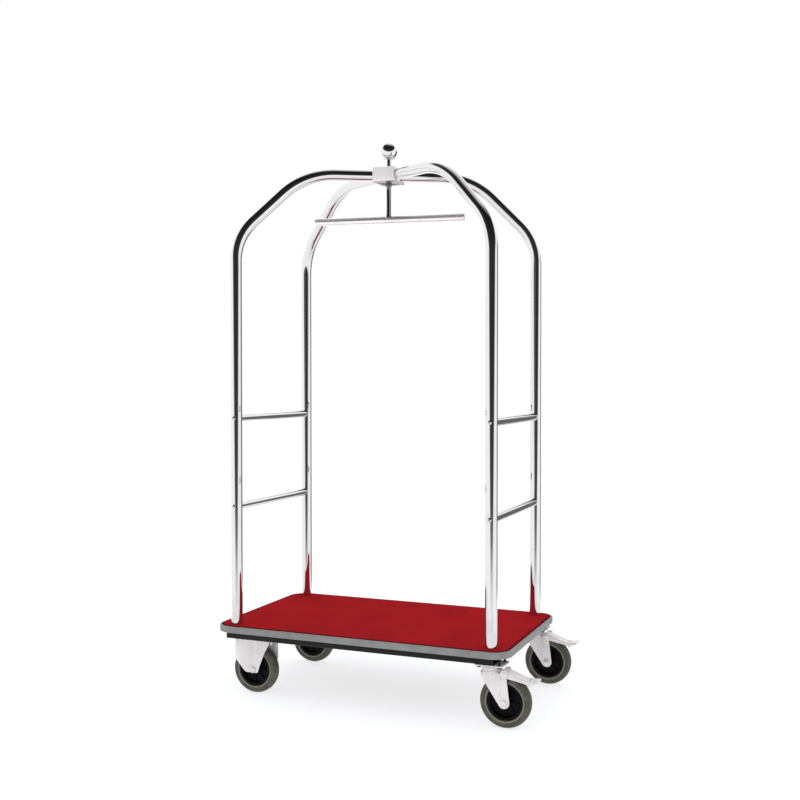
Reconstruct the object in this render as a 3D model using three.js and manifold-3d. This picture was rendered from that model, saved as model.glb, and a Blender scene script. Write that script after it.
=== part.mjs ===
// Hotel luggage cart ("birdcage" cart), in millimetres, +Z up.
//
// A carpeted deck stands on a black tube frame with two fixed and two swivelling casters. Four chrome
// posts rise from the deck corners and bend in to a block over the middle, from which a hanging bar
// turns on a rod. The long side of the deck lies along X and the swivelling casters are at its +X end.
//
// The origin is on the floor, under the middle of the whole cart's outline.

import * as THREE from "three";
import { mergeVertices } from "three/addons/utils/BufferGeometryUtils.js";
import loadManifold from "manifold-3d";

const wasm = await loadManifold();
wasm.setup();

// ---------------------------------------------------------------- driving dimensions

const FIT_GAP = 0.3; // left between pieces that touch

const WHEEL_RADIUS = 80;
const TYRE_WIDTH = 36;
const TYRE_INNER_RADIUS = 56;
const SIDEWALL_RING_RADIUS = 61;
const TREAD_HALF_WIDTH = 7; // of the flat middle of the tread
const TREAD_SHOULDER = 6; // how far the tread falls to the sidewall
const TREAD_EASE = 1.5; // how far the sidewall draws in at the tread
const BEAD_EASE = 2; // and at the hub
const WEB_HALF_THICKNESS = 7; // of the hub's disc
const WEB_REACH = 9; // from the boss out to the flat of the disc
const HUB_FLANGE_DEPTH = 12; // from the rim in to the flat of the disc
const HUB_RIM_INSET = 3; // of the rim from the tyre's face
const HUB_BOSS_RADIUS = 15;
const HUB_END_PLAY = 0.8; // between the boss and a leg
const AXLE_RADIUS = 6;
const AXLE_HEAD_RADIUS = 10.5; // across the corners of the bolt's head and the nut
const AXLE_HEAD_HEIGHT = 7;
const AXLE_NUT_HEIGHT = 9;
const AXLE_THREAD_LENGTH = 14; // of bolt beyond the leg, through the nut

const PLATE_THICKNESS = 3.5;
const PLATE_BOTTOM = 188;
const BAR_HEIGHT = 20; // height of the under-frame tubes
const BAR_WALL = 2;
const BOARD_THICKNESS = 18;
const CARPET_THICKNESS = 4.5;

const BOARD_HALF_X = 499;
const BOARD_HALF_Y = 293;
const BOARD_CORNER = 53;
const BUMPER_THICKNESS = 7.2;
const BUMPER_EASE = 2.4; // rounding of the bumper's outer edges
const BUMPER_LIP = 0.6; // how far the bumper hangs below the board
const BUMPER_STEP = 2.2; // how far the bumper's top lies below the carpet's
const TONGUE_THICKNESS = 2.6; // the bumper's tongue, pressed into a groove round the board
const TONGUE_DEPTH = 9;

const POST_X = 442.5;
const POST_Y = 253.5;
const POST_RADIUS = 19;
const POST_WALL = 1.5;
const POST_END_GAP = 10; // a post stops this far short of the middle, before the block's space is cut away
const POST_BEND_STEPS = 6;
const POST_BEND_START = 1440; // height where the first bend begins
const POST_BEND_RADIUS = 180;
const CROWN_SLOPE = THREE.MathUtils.degToRad(43.3); // of the straight between the two bends
const CROWN_BEND_RADIUS = 255;
const CROWN_HEIGHT = 1733; // axis of the level stretch into the block

const BLOCK_X = 78;
const BLOCK_Y = 98;
const BLOCK_HEIGHT = 48;
const BLOCK_CORNER = 4;

const SIDE_RAIL_RADIUS = 12.5;
const SIDE_RAIL_WALL = 1.5;
const SIDE_RAIL_HEIGHTS = { lower: 626, upper: 919 };
const RAIL_PLUG_LENGTH = 16; // threaded plug welded into each end of a side rail
const SCREW_RADIUS = 3;
const SCREW_LENGTH = 46;
const SCREW_HEAD_RADIUS = 6.5;
const SCREW_HEAD_HEIGHT = 4;
const SCREW_HEAD_SEAT = 1.5; // how far the head's rim is let in round the post
const SCREW_DOME = 2.4;
const SCREW_DOME_BREAK = { radius: 0.72, height: 0.7 }; // shares of the head's radius and of the dome

const HANGER_HEIGHT = 1586; // axis of the hanging bar
const HANGER_LENGTH = 515;
const HANGER_RADIUS = 12.5;
const HANGER_WALL = 1.5;
const HANGER_TURN = THREE.MathUtils.degToRad(8); // the bar hangs a little off the cart's long axis
const ROD_RADIUS = 10;
const ROD_THREAD_RADIUS = 7;
const ROD_END_EASE = 2; // the thread stops this far short of its bore
const BALL_RADIUS = 29;
const BALL_HEIGHT = 1816;
const BALL_BANDS = 10; // rows of facets from pole to pole
const BALL_NECK_RADIUS = 8.5;
const BALL_FLANGE_RADIUS = 15;
const BALL_FLANGE_HEIGHT = 3;
const HANGER_CAP_FACE = 1.7; // thickness of the cap outside the tube
const HANGER_CAP_PLUG = 14; // how far the cap reaches into the tube

const STUD_RADIUS = 5; // fastens each post down through the board
const STUD_HOLE_RADIUS = 5.4;
const ANCHOR_PLUG_HEIGHT = 30;
const ANCHOR_PLUG_EASE = 3;

const FRAME_RAIL_WIDTH = 60;
const FRAME_RAIL_LENGTH = 922;
const FRAME_RAIL_Y = 260;
const CROSSBAR_WIDTH = 40;
const CROSSBAR_X = { left: -391, middle: 0, right: 441 };

const FIXED_CASTER_X = -391;
const FIXED_CASTER_Y = 212;
const SWIVEL_CASTER_X = 446;
const SWIVEL_CASTER_Y = 254;
const SWIVEL_TRAIL = 44; // wheel axle behind the swivel axis

const CASTER_PLATE_CORNER = 6;
const FIXED_PLATE = { halfX: 72, halfY: 45 };
const HOUSING_HALF = 68; // half width of the fixed caster's legs at the plate
const HOUSING_FOOT = { straight: -29, curved: 16, bottom: 70 }; // the foot's two corners and its height
const HOUSING_KNEE_HEIGHT = 112; // where the straight edge turns in to the foot
const HOUSING_WAIST = { x: 36, z: 130 }; // draws the curved edge in between plate and foot
const HOUSING_SHOULDER = { x: 56, z: 164 };

const SWIVEL_PLATE = { halfX: 45, halfY: 40 };
const RACE_RADIUS = 21;
const RACE_BOTTOM = 171;
const CUP_INNER = 24;
const CUP_OUTER = 30;
const CUP_TOP = 183;
const FORK_CROWN_BOTTOM = 166;
const FORK_CROWN_TOP = 170;
const FORK_CROWN_FRONT = -29;
const FORK_CROWN_BACK = 33;
const FORK_SHOULDER_RADIUS = 33;
const FORK_KNEE_HEIGHT = 157; // where the legs' front edge turns back towards the axle
const FORK_FOOT_RADIUS = 17.5;
const FORK_FOOT_FROM = 1.189 * Math.PI; // where the rounded foot begins and ends
const FORK_FOOT_TO = 2.06 * Math.PI;
const EAR = { front: 36, back: 53, bottom: 150, top: 178 }; // carries a pedal pivot
const KINGPIN_RADIUS = 6;
const KINGPIN_HEAD_RADIUS = 11;
const KINGPIN_HEAD_HEIGHT = 4;
const KINGPIN_HEAD_EASE = 2;
const KINGPIN_END_EASE = 0.2; // of its end below the plate's face

const LEG_INNER = 23; // half the space between a caster's two legs
const LEG_THICKNESS = 3;
const PEDAL_PIVOT_X = 43;
const PEDAL_PIVOT_Z = 168;
const PEDAL_HALF_WIDTH = 22.3;
const PEDAL_WALL = 2;
const PEDAL_TIP = 149; // from the swivel axis

// Outlines in the pedal's middle plane, as [distance from the swivel axis, height] points.
const PEDAL_OUTSIDE = [
  [37, 155],
  [55, 152],
  [85, 147],
  [117, 140],
  [124, 139],
  [134, 142],
  [PEDAL_TIP, 149],
  [PEDAL_TIP - 3, 154],
  [128, 151.5],
  [108, 152.5],
  [72, 165.5],
  [48, 174],
  [37, 177],
];
const PEDAL_INSIDE = [
  [30, 120],
  [125, 120],
  [125, 149.4],
  [108, 150.2],
  [72, 163.2],
  [48, 171.7],
  [30, 176.6],
];
const SHOE_BLANK = [
  [94, 130],
  [120, 130],
  [120, 150.5],
  [108, 151.5],
  [94, 156.6],
];

const PEDAL_PIN_RADIUS = 4;
const SHOE_HALF_WIDTH = 15;
const SHOE_CLEARANCE = 11.8; // from the tyre with the pedal up

const ROUND = 16; // facets round a tube
const WHEEL_ROUND = 24; // facets round a wheel
const FINE_ROUND = 12; // facets round an axle or a kingpin
const HIDDEN_ROUND = 10; // facets round inner and small faces
const SCREW_ROUND = 8; // facets round a screw hole
const CORNER_STEPS = 5; // facets on a rounded corner
const SMALL_CORNER_STEPS = 2;

// ---------------------------------------------------------------- heights that follow

const PLATE_TOP = PLATE_BOTTOM + PLATE_THICKNESS;
const BAR_BOTTOM = PLATE_TOP + FIT_GAP;
const BAR_TOP = BAR_BOTTOM + BAR_HEIGHT;
const BOARD_BOTTOM = BAR_TOP + FIT_GAP;
const BOARD_TOP = BOARD_BOTTOM + BOARD_THICKNESS;
const CARPET_BOTTOM = BOARD_TOP + FIT_GAP;
const CARPET_TOP = CARPET_BOTTOM + CARPET_THICKNESS;
const POST_BOTTOM = CARPET_BOTTOM;
const BLOCK_TOP = CROWN_HEIGHT + BLOCK_HEIGHT / 2;
const BLOCK_BOTTOM = CROWN_HEIGHT - BLOCK_HEIGHT / 2;
const TONGUE_BOTTOM = BOARD_BOTTOM + (BOARD_THICKNESS - TONGUE_THICKNESS) / 2;
const BUMPER_OUTER_X = BOARD_HALF_X + FIT_GAP + BUMPER_THICKNESS;
const LEG_OUTER = LEG_INNER + LEG_THICKNESS;

// ---------------------------------------------------------------- materials

const finish = (color, roughness, metalness) => () =>
  new THREE.MeshStandardMaterial({ color, roughness, metalness, flatShading: true });

const chrome = finish(0xe6e6e8, 0.08, 1);
const zinc = finish(0xd0cccb, 0.35, 1);
const blackPaint = finish(0x292824, 0.5, 0);
const plywood = finish(0x9c7b4f, 0.7, 0);
const carpet = finish(0x9c2024, 0.95, 0);
const bumperRubber = finish(0x80827f, 0.6, 0);
const tyreRubber = finish(0x53524d, 0.75, 0);
const blackPlastic = finish(0x141512, 0.45, 0);

// ---------------------------------------------------------------- solids

// A closed solid from a three.js geometry; an outline drawn the other way round is turned face out.
function solid(geometry) {
  const bare = geometry.clone();
  bare.deleteAttribute("normal");
  bare.deleteAttribute("uv");
  const merged = mergeVertices(bare);
  const position = merged.attributes.position;
  const index = merged.index.array;
  const corner = (i) => new THREE.Vector3().fromBufferAttribute(position, i);
  const triangles = [];
  let volume = 0;
  for (let i = 0; i < index.length; i += 3) {
    const [a, b, c] = [index[i], index[i + 1], index[i + 2]];
    if (a === b || b === c || c === a) continue;
    triangles.push([a, b, c]);
    volume += corner(a).dot(corner(b).cross(corner(c)));
  }
  const outward = volume < 0 ? triangles.map(([a, b, c]) => [a, c, b]) : triangles;
  const mesh = new wasm.Mesh({
    numProp: 3,
    vertProperties: Float32Array.from(position.array),
    triVerts: Uint32Array.from(outward.flat()),
  });
  return new wasm.Manifold(mesh);
}

function geometryOf(shape) {
  const mesh = shape.getMesh();
  const geometry = new THREE.BufferGeometry();
  geometry.setAttribute("position", new THREE.BufferAttribute(mesh.vertProperties, 3));
  geometry.setIndex(new THREE.BufferAttribute(mesh.triVerts, 1));
  return geometry;
}

function piece(name, shape, material) {
  const mesh = new THREE.Mesh(geometryOf(shape), material());
  mesh.name = name;
  return mesh;
}

// A box from its lowest to its highest corner.
function block(low, high) {
  const size = high.map((value, i) => value - low[i]);
  const middle = high.map((value, i) => (value + low[i]) / 2);
  return solid(new THREE.BoxGeometry(...size).translate(...middle));
}

// A cylinder along Z between two heights.
function roundZ(radius, bottom, top, facets = ROUND) {
  const geometry = new THREE.CylinderGeometry(radius, radius, top - bottom, facets);
  return solid(geometry.rotateX(Math.PI / 2).translate(0, 0, (bottom + top) / 2));
}

// A cylinder along Y between two values of y.
function roundY(radius, from, to, facets = ROUND) {
  const geometry = new THREE.CylinderGeometry(radius, radius, to - from, facets);
  return solid(geometry.translate(0, (from + to) / 2, 0));
}

// A cylinder along X between two values of x.
function roundX(radius, from, to, facets = ROUND) {
  const geometry = new THREE.CylinderGeometry(radius, radius, to - from, facets);
  return solid(geometry.rotateZ(Math.PI / 2).translate((from + to) / 2, 0, 0));
}

// A turned solid about Z from [radius, z] points that start and end on the axis or close.
function turnedZ(profile, facets = ROUND) {
  const points = profile.map(([radius, z]) => new THREE.Vector2(radius, z));
  return solid(new THREE.LatheGeometry(points, facets).rotateX(Math.PI / 2));
}

// A turned solid about Y from [radius, y] points.
function turnedY(profile, facets = ROUND) {
  const points = profile.map(([radius, y]) => new THREE.Vector2(radius, y));
  return solid(new THREE.LatheGeometry(points, facets));
}

function roundedRectangle(halfX, halfY, corner) {
  const shape = new THREE.Shape();
  shape.absarc(halfX - corner, halfY - corner, corner, 0, Math.PI / 2);
  shape.absarc(corner - halfX, halfY - corner, corner, Math.PI / 2, Math.PI);
  shape.absarc(corner - halfX, corner - halfY, corner, Math.PI, 1.5 * Math.PI);
  shape.absarc(halfX - corner, corner - halfY, corner, 1.5 * Math.PI, 2 * Math.PI);
  return shape;
}

// A flat plate with rounded corners between two heights.
function plateZ(halfX, halfY, corner, bottom, top, curveSegments = CORNER_STEPS) {
  const shape = roundedRectangle(halfX, halfY, corner);
  const depth = top - bottom;
  const geometry = new THREE.ExtrudeGeometry(shape, { depth, bevelEnabled: false, curveSegments });
  return solid(geometry.translate(0, 0, bottom));
}

// A plate standing in the XZ plane, cut to an outline of [x, z] points or a Shape, from one y to another.
function plateY(outline, from, to, curveSegments = CORNER_STEPS) {
  const shape = Array.isArray(outline)
    ? new THREE.Shape(outline.map(([x, z]) => new THREE.Vector2(x, z)))
    : outline;
  const depth = to - from;
  const geometry = new THREE.ExtrudeGeometry(shape, { depth, bevelEnabled: false, curveSegments });
  return solid(geometry.rotateX(Math.PI / 2).translate(0, to, 0));
}

const union = (first, ...rest) => rest.reduce((sum, next) => sum.add(next), first);
const cut = (first, ...rest) => rest.reduce((left, next) => left.subtract(next), first);
const bothSides = (make) => union(make(-1), make(1));

// ---------------------------------------------------------------- deck

const atPosts = (make) =>
  [-1, 1].flatMap((x) => [-1, 1].map((y) => make().translate([x * POST_X, y * POST_Y, 0])));

function deckBoard() {
  const board = plateZ(BOARD_HALF_X, BOARD_HALF_Y, BOARD_CORNER, BOARD_BOTTOM, BOARD_TOP);
  const grooveDepth = TONGUE_DEPTH + 2 * FIT_GAP;
  const grooveBottom = TONGUE_BOTTOM - FIT_GAP;
  const grooveTop = grooveBottom + TONGUE_THICKNESS + 2 * FIT_GAP;
  const around = plateZ(BOARD_HALF_X + 1, BOARD_HALF_Y + 1, BOARD_CORNER + 1, grooveBottom, grooveTop);
  const core = plateZ(
    BOARD_HALF_X - grooveDepth,
    BOARD_HALF_Y - grooveDepth,
    BOARD_CORNER - grooveDepth,
    grooveBottom - 1,
    grooveTop + 1,
  );
  const studHoles = atPosts(() => roundZ(STUD_HOLE_RADIUS, BOARD_BOTTOM - 1, BOARD_TOP + 1, HIDDEN_ROUND));
  return piece("deck_board", cut(board, around.subtract(core), ...studHoles), plywood);
}

function deckCarpet() {
  const sheet = plateZ(BOARD_HALF_X, BOARD_HALF_Y, BOARD_CORNER, CARPET_BOTTOM, CARPET_TOP);
  const holes = atPosts(() => roundZ(POST_RADIUS + 2 * FIT_GAP, CARPET_BOTTOM - 1, CARPET_TOP + 1));
  return piece("deck_carpet", cut(sheet, ...holes), carpet);
}

// A T-shaped edging: a rounded band round the deck with a tongue in the board's groove.
function edgeBumper() {
  const halfX = BUMPER_OUTER_X - BUMPER_EASE;
  const halfY = BOARD_HALF_Y + FIT_GAP + BUMPER_THICKNESS - BUMPER_EASE;
  const corner = BOARD_CORNER + FIT_GAP + BUMPER_THICKNESS - BUMPER_EASE;
  const bottom = BOARD_BOTTOM - BUMPER_LIP;
  const top = CARPET_TOP - BUMPER_STEP;
  const band = new THREE.ExtrudeGeometry(roundedRectangle(halfX, halfY, corner), {
    depth: top - bottom - 2 * BUMPER_EASE,
    bevelThickness: BUMPER_EASE,
    bevelSize: BUMPER_EASE,
    bevelSegments: 1,
    curveSegments: CORNER_STEPS,
  });
  const body = solid(band.translate(0, 0, bottom + BUMPER_EASE));
  const hole = plateZ(
    BOARD_HALF_X + FIT_GAP,
    BOARD_HALF_Y + FIT_GAP,
    BOARD_CORNER + FIT_GAP,
    bottom - 1,
    top + 1,
  );
  const tongueOuter = plateZ(
    BOARD_HALF_X + 1,
    BOARD_HALF_Y + 1,
    BOARD_CORNER + 1,
    TONGUE_BOTTOM,
    TONGUE_BOTTOM + TONGUE_THICKNESS,
  );
  const tongueHole = plateZ(
    BOARD_HALF_X - TONGUE_DEPTH,
    BOARD_HALF_Y - TONGUE_DEPTH,
    BOARD_CORNER - TONGUE_DEPTH,
    TONGUE_BOTTOM - 1,
    TONGUE_BOTTOM + TONGUE_THICKNESS + 1,
  );
  const tongue = tongueOuter.subtract(tongueHole);
  return piece("edge_bumper", union(cut(body, hole), tongue), bumperRubber);
}

// ---------------------------------------------------------------- under-frame

function frameRail(name, side) {
  const halfLength = FRAME_RAIL_LENGTH / 2;
  const halfWidth = FRAME_RAIL_WIDTH / 2;
  const y = side * FRAME_RAIL_Y;
  const outside = block([-halfLength, y - halfWidth, BAR_BOTTOM], [halfLength, y + halfWidth, BAR_TOP]);
  const inside = block(
    [-halfLength - 1, y - halfWidth + BAR_WALL, BAR_BOTTOM + BAR_WALL],
    [halfLength + 1, y + halfWidth - BAR_WALL, BAR_TOP - BAR_WALL],
  );
  const studHoles = [-1, 1].map((x) => {
    const hole = roundZ(STUD_HOLE_RADIUS, BAR_TOP - BAR_WALL - 1, BAR_TOP + 1, HIDDEN_ROUND);
    return hole.translate([x * POST_X, side * POST_Y, 0]);
  });
  return piece(name, cut(outside, inside, ...studHoles), blackPaint);
}

function crossbar(name, x) {
  const halfLength = FRAME_RAIL_Y - FRAME_RAIL_WIDTH / 2 - FIT_GAP;
  const halfWidth = CROSSBAR_WIDTH / 2;
  const outside = block([x - halfWidth, -halfLength, BAR_BOTTOM], [x + halfWidth, halfLength, BAR_TOP]);
  const inside = block(
    [x - halfWidth + BAR_WALL, -halfLength - 1, BAR_BOTTOM + BAR_WALL],
    [x + halfWidth - BAR_WALL, halfLength + 1, BAR_TOP - BAR_WALL],
  );
  return piece(name, cut(outside, inside), blackPaint);
}

// ---------------------------------------------------------------- bent posts

// A route through given stations, one extrusion step from each station to the next.
class StationCurve extends THREE.Curve {
  constructor(stations) {
    super();
    this.stations = stations;
  }

  getPoint(t, target = new THREE.Vector3()) {
    const last = this.stations.length - 1;
    const place = THREE.MathUtils.clamp(t, 0, 1) * last;
    const i = Math.min(Math.floor(place), last - 1);
    return target.lerpVectors(this.stations[i], this.stations[i + 1], place - i);
  }

  getUtoTmapping(u) {
    return u;
  }
}

// The post's axis as [distance towards the middle, height] points.
function postRoute(reach) {
  const upright = Math.PI / 2;
  const route = [[0, POST_BOTTOM]];
  for (let i = 0; i <= POST_BEND_STEPS; i++) {
    const angle = upright + ((CROWN_SLOPE - upright) * i) / POST_BEND_STEPS;
    const inward = POST_BEND_RADIUS * (1 - Math.sin(angle));
    route.push([inward, POST_BEND_START + POST_BEND_RADIUS * Math.cos(angle)]);
  }
  const [bendEnd, bendTop] = route[route.length - 1];
  const rise = CROWN_HEIGHT - CROWN_BEND_RADIUS * (1 - Math.cos(CROWN_SLOPE)) - bendTop;
  const crownStart = bendEnd + rise / Math.tan(CROWN_SLOPE);
  const crownCentre = crownStart + CROWN_BEND_RADIUS * Math.sin(CROWN_SLOPE);
  for (let i = 0; i <= POST_BEND_STEPS; i++) {
    const angle = CROWN_SLOPE * (1 - i / POST_BEND_STEPS);
    const drop = CROWN_BEND_RADIUS * (1 - Math.cos(angle));
    route.push([crownCentre - CROWN_BEND_RADIUS * Math.sin(angle), CROWN_HEIGHT - drop]);
  }
  route.push([reach, CROWN_HEIGHT]);
  return route;
}

const circlePoints = (radius, facets) =>
  Array.from({ length: facets }, (_, i) => {
    const angle = (2 * Math.PI * i) / facets;
    return new THREE.Vector2(radius * Math.cos(angle), radius * Math.sin(angle));
  });

function tubeAlong(stations, radius, wall, facets, innerFacets) {
  const ring = new THREE.Shape(circlePoints(radius, facets));
  ring.holes.push(new THREE.Path(circlePoints(radius - wall, innerFacets)));
  const extrudePath = new StationCurve(stations);
  const steps = stations.length - 1;
  return solid(new THREE.ExtrudeGeometry(ring, { extrudePath, steps, bevelEnabled: false }));
}

function bentPost(name, sideX, sideY) {
  const foot = new THREE.Vector2(sideX * POST_X, sideY * POST_Y);
  const inward = foot.clone().normalize().negate();
  const stations = postRoute(foot.length() - POST_END_GAP).map(
    ([along, height]) => new THREE.Vector3(foot.x + inward.x * along, foot.y + inward.y * along, height),
  );
  const tube = tubeAlong(stations, POST_RADIUS, POST_WALL, ROUND, HIDDEN_ROUND);
  const reach = BLOCK_X / 2 + FIT_GAP;
  const blockSpace = block(
    [-reach, -BLOCK_Y, CROWN_HEIGHT - 2 * POST_RADIUS],
    [reach, BLOCK_Y, CROWN_HEIGHT + 2 * POST_RADIUS],
  );
  const screwHoles = Object.values(SIDE_RAIL_HEIGHTS).map((height) => {
    const hole = roundY(SCREW_RADIUS + FIT_GAP, -POST_RADIUS - 2, POST_RADIUS + 2, SCREW_ROUND);
    return hole.translate([foot.x, foot.y, height]);
  });
  return piece(name, cut(tube, blockSpace, ...screwHoles), chrome);
}

// A plug that holds the foot of a post, with a stud down through the board into the frame.
function postAnchor(name, sideX, sideY) {
  const plugRadius = POST_RADIUS - POST_WALL - 2 * FIT_GAP;
  const plugBottom = BOARD_TOP + FIT_GAP;
  const plugTop = plugBottom + ANCHOR_PLUG_HEIGHT;
  const studBottom = BAR_BOTTOM + 2 * BAR_WALL;
  const shape = turnedZ(
    [
      [0, studBottom],
      [STUD_RADIUS, studBottom],
      [STUD_RADIUS, plugBottom],
      [plugRadius, plugBottom],
      [plugRadius, plugTop - ANCHOR_PLUG_EASE],
      [plugRadius - ANCHOR_PLUG_EASE, plugTop],
      [0, plugTop],
    ],
    HIDDEN_ROUND,
  );
  return piece(name, shape.translate([sideX * POST_X, sideY * POST_Y, 0]), zinc);
}

// ---------------------------------------------------------------- crown block and hanger

function crownBlock() {
  const body = plateZ(BLOCK_X / 2, BLOCK_Y / 2, BLOCK_CORNER, BLOCK_BOTTOM, BLOCK_TOP, SMALL_CORNER_STEPS);
  const bore = roundZ(ROD_RADIUS + FIT_GAP, BLOCK_BOTTOM - 1, BLOCK_TOP + 1);
  return piece("crown_block", cut(body, bore), chrome);
}

function finialBall() {
  const bottom = BLOCK_TOP + FIT_GAP;
  const sphere = solid(
    new THREE.SphereGeometry(BALL_RADIUS, ROUND, BALL_BANDS).rotateX(Math.PI / 2).translate(0, 0, BALL_HEIGHT),
  );
  const neck = roundZ(BALL_NECK_RADIUS, bottom, BALL_HEIGHT);
  const flange = roundZ(BALL_FLANGE_RADIUS, bottom, bottom + BALL_FLANGE_HEIGHT);
  const bore = roundZ(ROD_THREAD_RADIUS + FIT_GAP, bottom - 1, BALL_HEIGHT);
  return piece("finial_ball", cut(union(sphere, neck, flange), bore), chrome);
}

function hangerRod() {
  const shoulder = BLOCK_TOP - 1;
  const shape = turnedZ(
    [
      [0, HANGER_HEIGHT],
      [ROD_RADIUS, HANGER_HEIGHT],
      [ROD_RADIUS, shoulder],
      [ROD_THREAD_RADIUS, shoulder],
      [ROD_THREAD_RADIUS, BALL_HEIGHT - ROD_END_EASE],
      [0, BALL_HEIGHT - ROD_END_EASE],
    ],
    ROUND,
  );
  const saddle = roundX(HANGER_RADIUS + FIT_GAP, -2 * ROD_RADIUS, 2 * ROD_RADIUS);
  return piece("hanger_rod", cut(shape, saddle.translate([0, 0, HANGER_HEIGHT])), chrome);
}

function hangerBar() {
  const half = HANGER_LENGTH / 2 - HANGER_CAP_FACE - FIT_GAP;
  const outside = roundX(HANGER_RADIUS, -half, half);
  const inside = roundX(HANGER_RADIUS - HANGER_WALL, -half - 1, half + 1);
  return piece("hanger_bar", cut(outside, inside).translate([0, 0, HANGER_HEIGHT]), chrome);
}

function hangerCap(name, side) {
  const end = HANGER_LENGTH / 2;
  const plugRadius = HANGER_RADIUS - HANGER_WALL - 2 * FIT_GAP;
  const cap = roundX(HANGER_RADIUS, end - HANGER_CAP_FACE, end);
  const plug = roundX(plugRadius, end - HANGER_CAP_PLUG, end - HANGER_CAP_FACE / 2, FINE_ROUND);
  const shape = union(cap, plug);
  const turned = side > 0 ? shape : shape.rotate([0, 0, 180]);
  return piece(name, turned.translate([0, 0, HANGER_HEIGHT]), chrome);
}

// ---------------------------------------------------------------- side rails

function sideRail(name, side, height) {
  const end = POST_Y - POST_RADIUS / 2;
  const plugFrom = POST_Y - POST_RADIUS - RAIL_PLUG_LENGTH;
  const outside = roundY(SIDE_RAIL_RADIUS, -end, end);
  const hollow = roundY(SIDE_RAIL_RADIUS - SIDE_RAIL_WALL, -plugFrom, plugFrom, HIDDEN_ROUND);
  const thread = roundY(SCREW_RADIUS + FIT_GAP, -end - 1, end + 1, SCREW_ROUND);
  const posts = [-1, 1].map((y) => {
    const post = roundZ(POST_RADIUS + FIT_GAP, -2 * SIDE_RAIL_RADIUS, 2 * SIDE_RAIL_RADIUS);
    return post.translate([0, y * POST_Y, 0]);
  });
  const shape = cut(outside, hollow, thread, ...posts);
  return piece(name, shape.translate([side * POST_X, 0, height]), chrome);
}

// A dome-headed screw through the post into the rail's end; its head is hollowed to fit the post.
function railScrew(name, sideX, sideY, height) {
  const headFrom = POST_RADIUS - SCREW_HEAD_SEAT;
  const headTo = POST_RADIUS + SCREW_HEAD_HEIGHT;
  const shape = turnedY(
    [
      [0, headFrom - SCREW_LENGTH],
      [SCREW_RADIUS, headFrom - SCREW_LENGTH],
      [SCREW_RADIUS, headFrom],
      [SCREW_HEAD_RADIUS, headFrom],
      [SCREW_HEAD_RADIUS, headTo - SCREW_DOME],
      [SCREW_HEAD_RADIUS * SCREW_DOME_BREAK.radius, headTo - SCREW_DOME * (1 - SCREW_DOME_BREAK.height)],
      [0, headTo],
    ],
    HIDDEN_ROUND,
  );
  const postSkin = cut(
    roundZ(POST_RADIUS + FIT_GAP, -2 * SCREW_HEAD_RADIUS, 2 * SCREW_HEAD_RADIUS),
    roundY(SCREW_RADIUS, -2 * POST_RADIUS, 2 * POST_RADIUS, HIDDEN_ROUND),
  );
  const screw = cut(shape, postSkin);
  const turned = sideY > 0 ? screw : screw.rotate([0, 0, 180]);
  return piece(name, turned.translate([sideX * POST_X, sideY * POST_Y, height]), chrome);
}

// ---------------------------------------------------------------- wheels

// Wheels and their axles are made about their own centre, with the axle along Y.
function tyre(name) {
  const half = TYRE_WIDTH / 2;
  const shape = turnedY(
    [
      [TYRE_INNER_RADIUS, -half + BEAD_EASE],
      [SIDEWALL_RING_RADIUS, -half],
      [WHEEL_RADIUS - TREAD_SHOULDER, -half + TREAD_EASE],
      [WHEEL_RADIUS, -TREAD_HALF_WIDTH],
      [WHEEL_RADIUS, TREAD_HALF_WIDTH],
      [WHEEL_RADIUS - TREAD_SHOULDER, half - TREAD_EASE],
      [SIDEWALL_RING_RADIUS, half],
      [TYRE_INNER_RADIUS, half - BEAD_EASE],
      [TYRE_INNER_RADIUS, -half + BEAD_EASE],
    ],
    WHEEL_ROUND,
  );
  return piece(name, shape, tyreRubber);
}

function wheelHub(name) {
  const rim = TYRE_INNER_RADIUS - FIT_GAP;
  const half = TYRE_WIDTH / 2 - HUB_RIM_INSET;
  const bossHalf = LEG_INNER - HUB_END_PLAY;
  const webFrom = HUB_BOSS_RADIUS + WEB_REACH;
  const webTo = rim - HUB_FLANGE_DEPTH;
  const shape = turnedY(
    [
      [AXLE_RADIUS + FIT_GAP, -bossHalf],
      [HUB_BOSS_RADIUS, -bossHalf],
      [webFrom, -WEB_HALF_THICKNESS],
      [webTo, -WEB_HALF_THICKNESS],
      [rim, -half],
      [rim, half],
      [webTo, WEB_HALF_THICKNESS],
      [webFrom, WEB_HALF_THICKNESS],
      [HUB_BOSS_RADIUS, bossHalf],
      [AXLE_RADIUS + FIT_GAP, bossHalf],
      [AXLE_RADIUS + FIT_GAP, -bossHalf],
    ],
    WHEEL_ROUND,
  );
  return piece(name, shape, blackPlastic);
}

// The bolt's head is on the outer side of the cart.
function axleBolt(name, side) {
  const headFrom = LEG_OUTER + FIT_GAP;
  const shank = roundY(AXLE_RADIUS, -LEG_OUTER - AXLE_THREAD_LENGTH, headFrom + 1, FINE_ROUND);
  const head = roundY(AXLE_HEAD_RADIUS, headFrom, headFrom + AXLE_HEAD_HEIGHT, 6);
  const bolt = union(shank, head);
  return piece(name, side > 0 ? bolt : bolt.rotate([0, 0, 180]), zinc);
}

function axleNut(name, side) {
  const from = LEG_OUTER + FIT_GAP;
  const to = from + AXLE_NUT_HEIGHT;
  const thread = roundY(AXLE_RADIUS + FIT_GAP, from - 1, to + 1, FINE_ROUND);
  const nut = cut(roundY(AXLE_HEAD_RADIUS, from, to, 6), thread);
  return piece(name, side > 0 ? nut.rotate([0, 0, 180]) : nut, zinc);
}

function wheelSet(name, side) {
  const group = new THREE.Group();
  group.position.z = WHEEL_RADIUS;
  group.add(tyre(`${name}_tyre`));
  group.add(wheelHub(`${name}_hub`));
  group.add(axleBolt(`${name}_axle_bolt`, side));
  group.add(axleNut(`${name}_axle_nut`, side));
  return group;
}

// ---------------------------------------------------------------- casters

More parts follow.
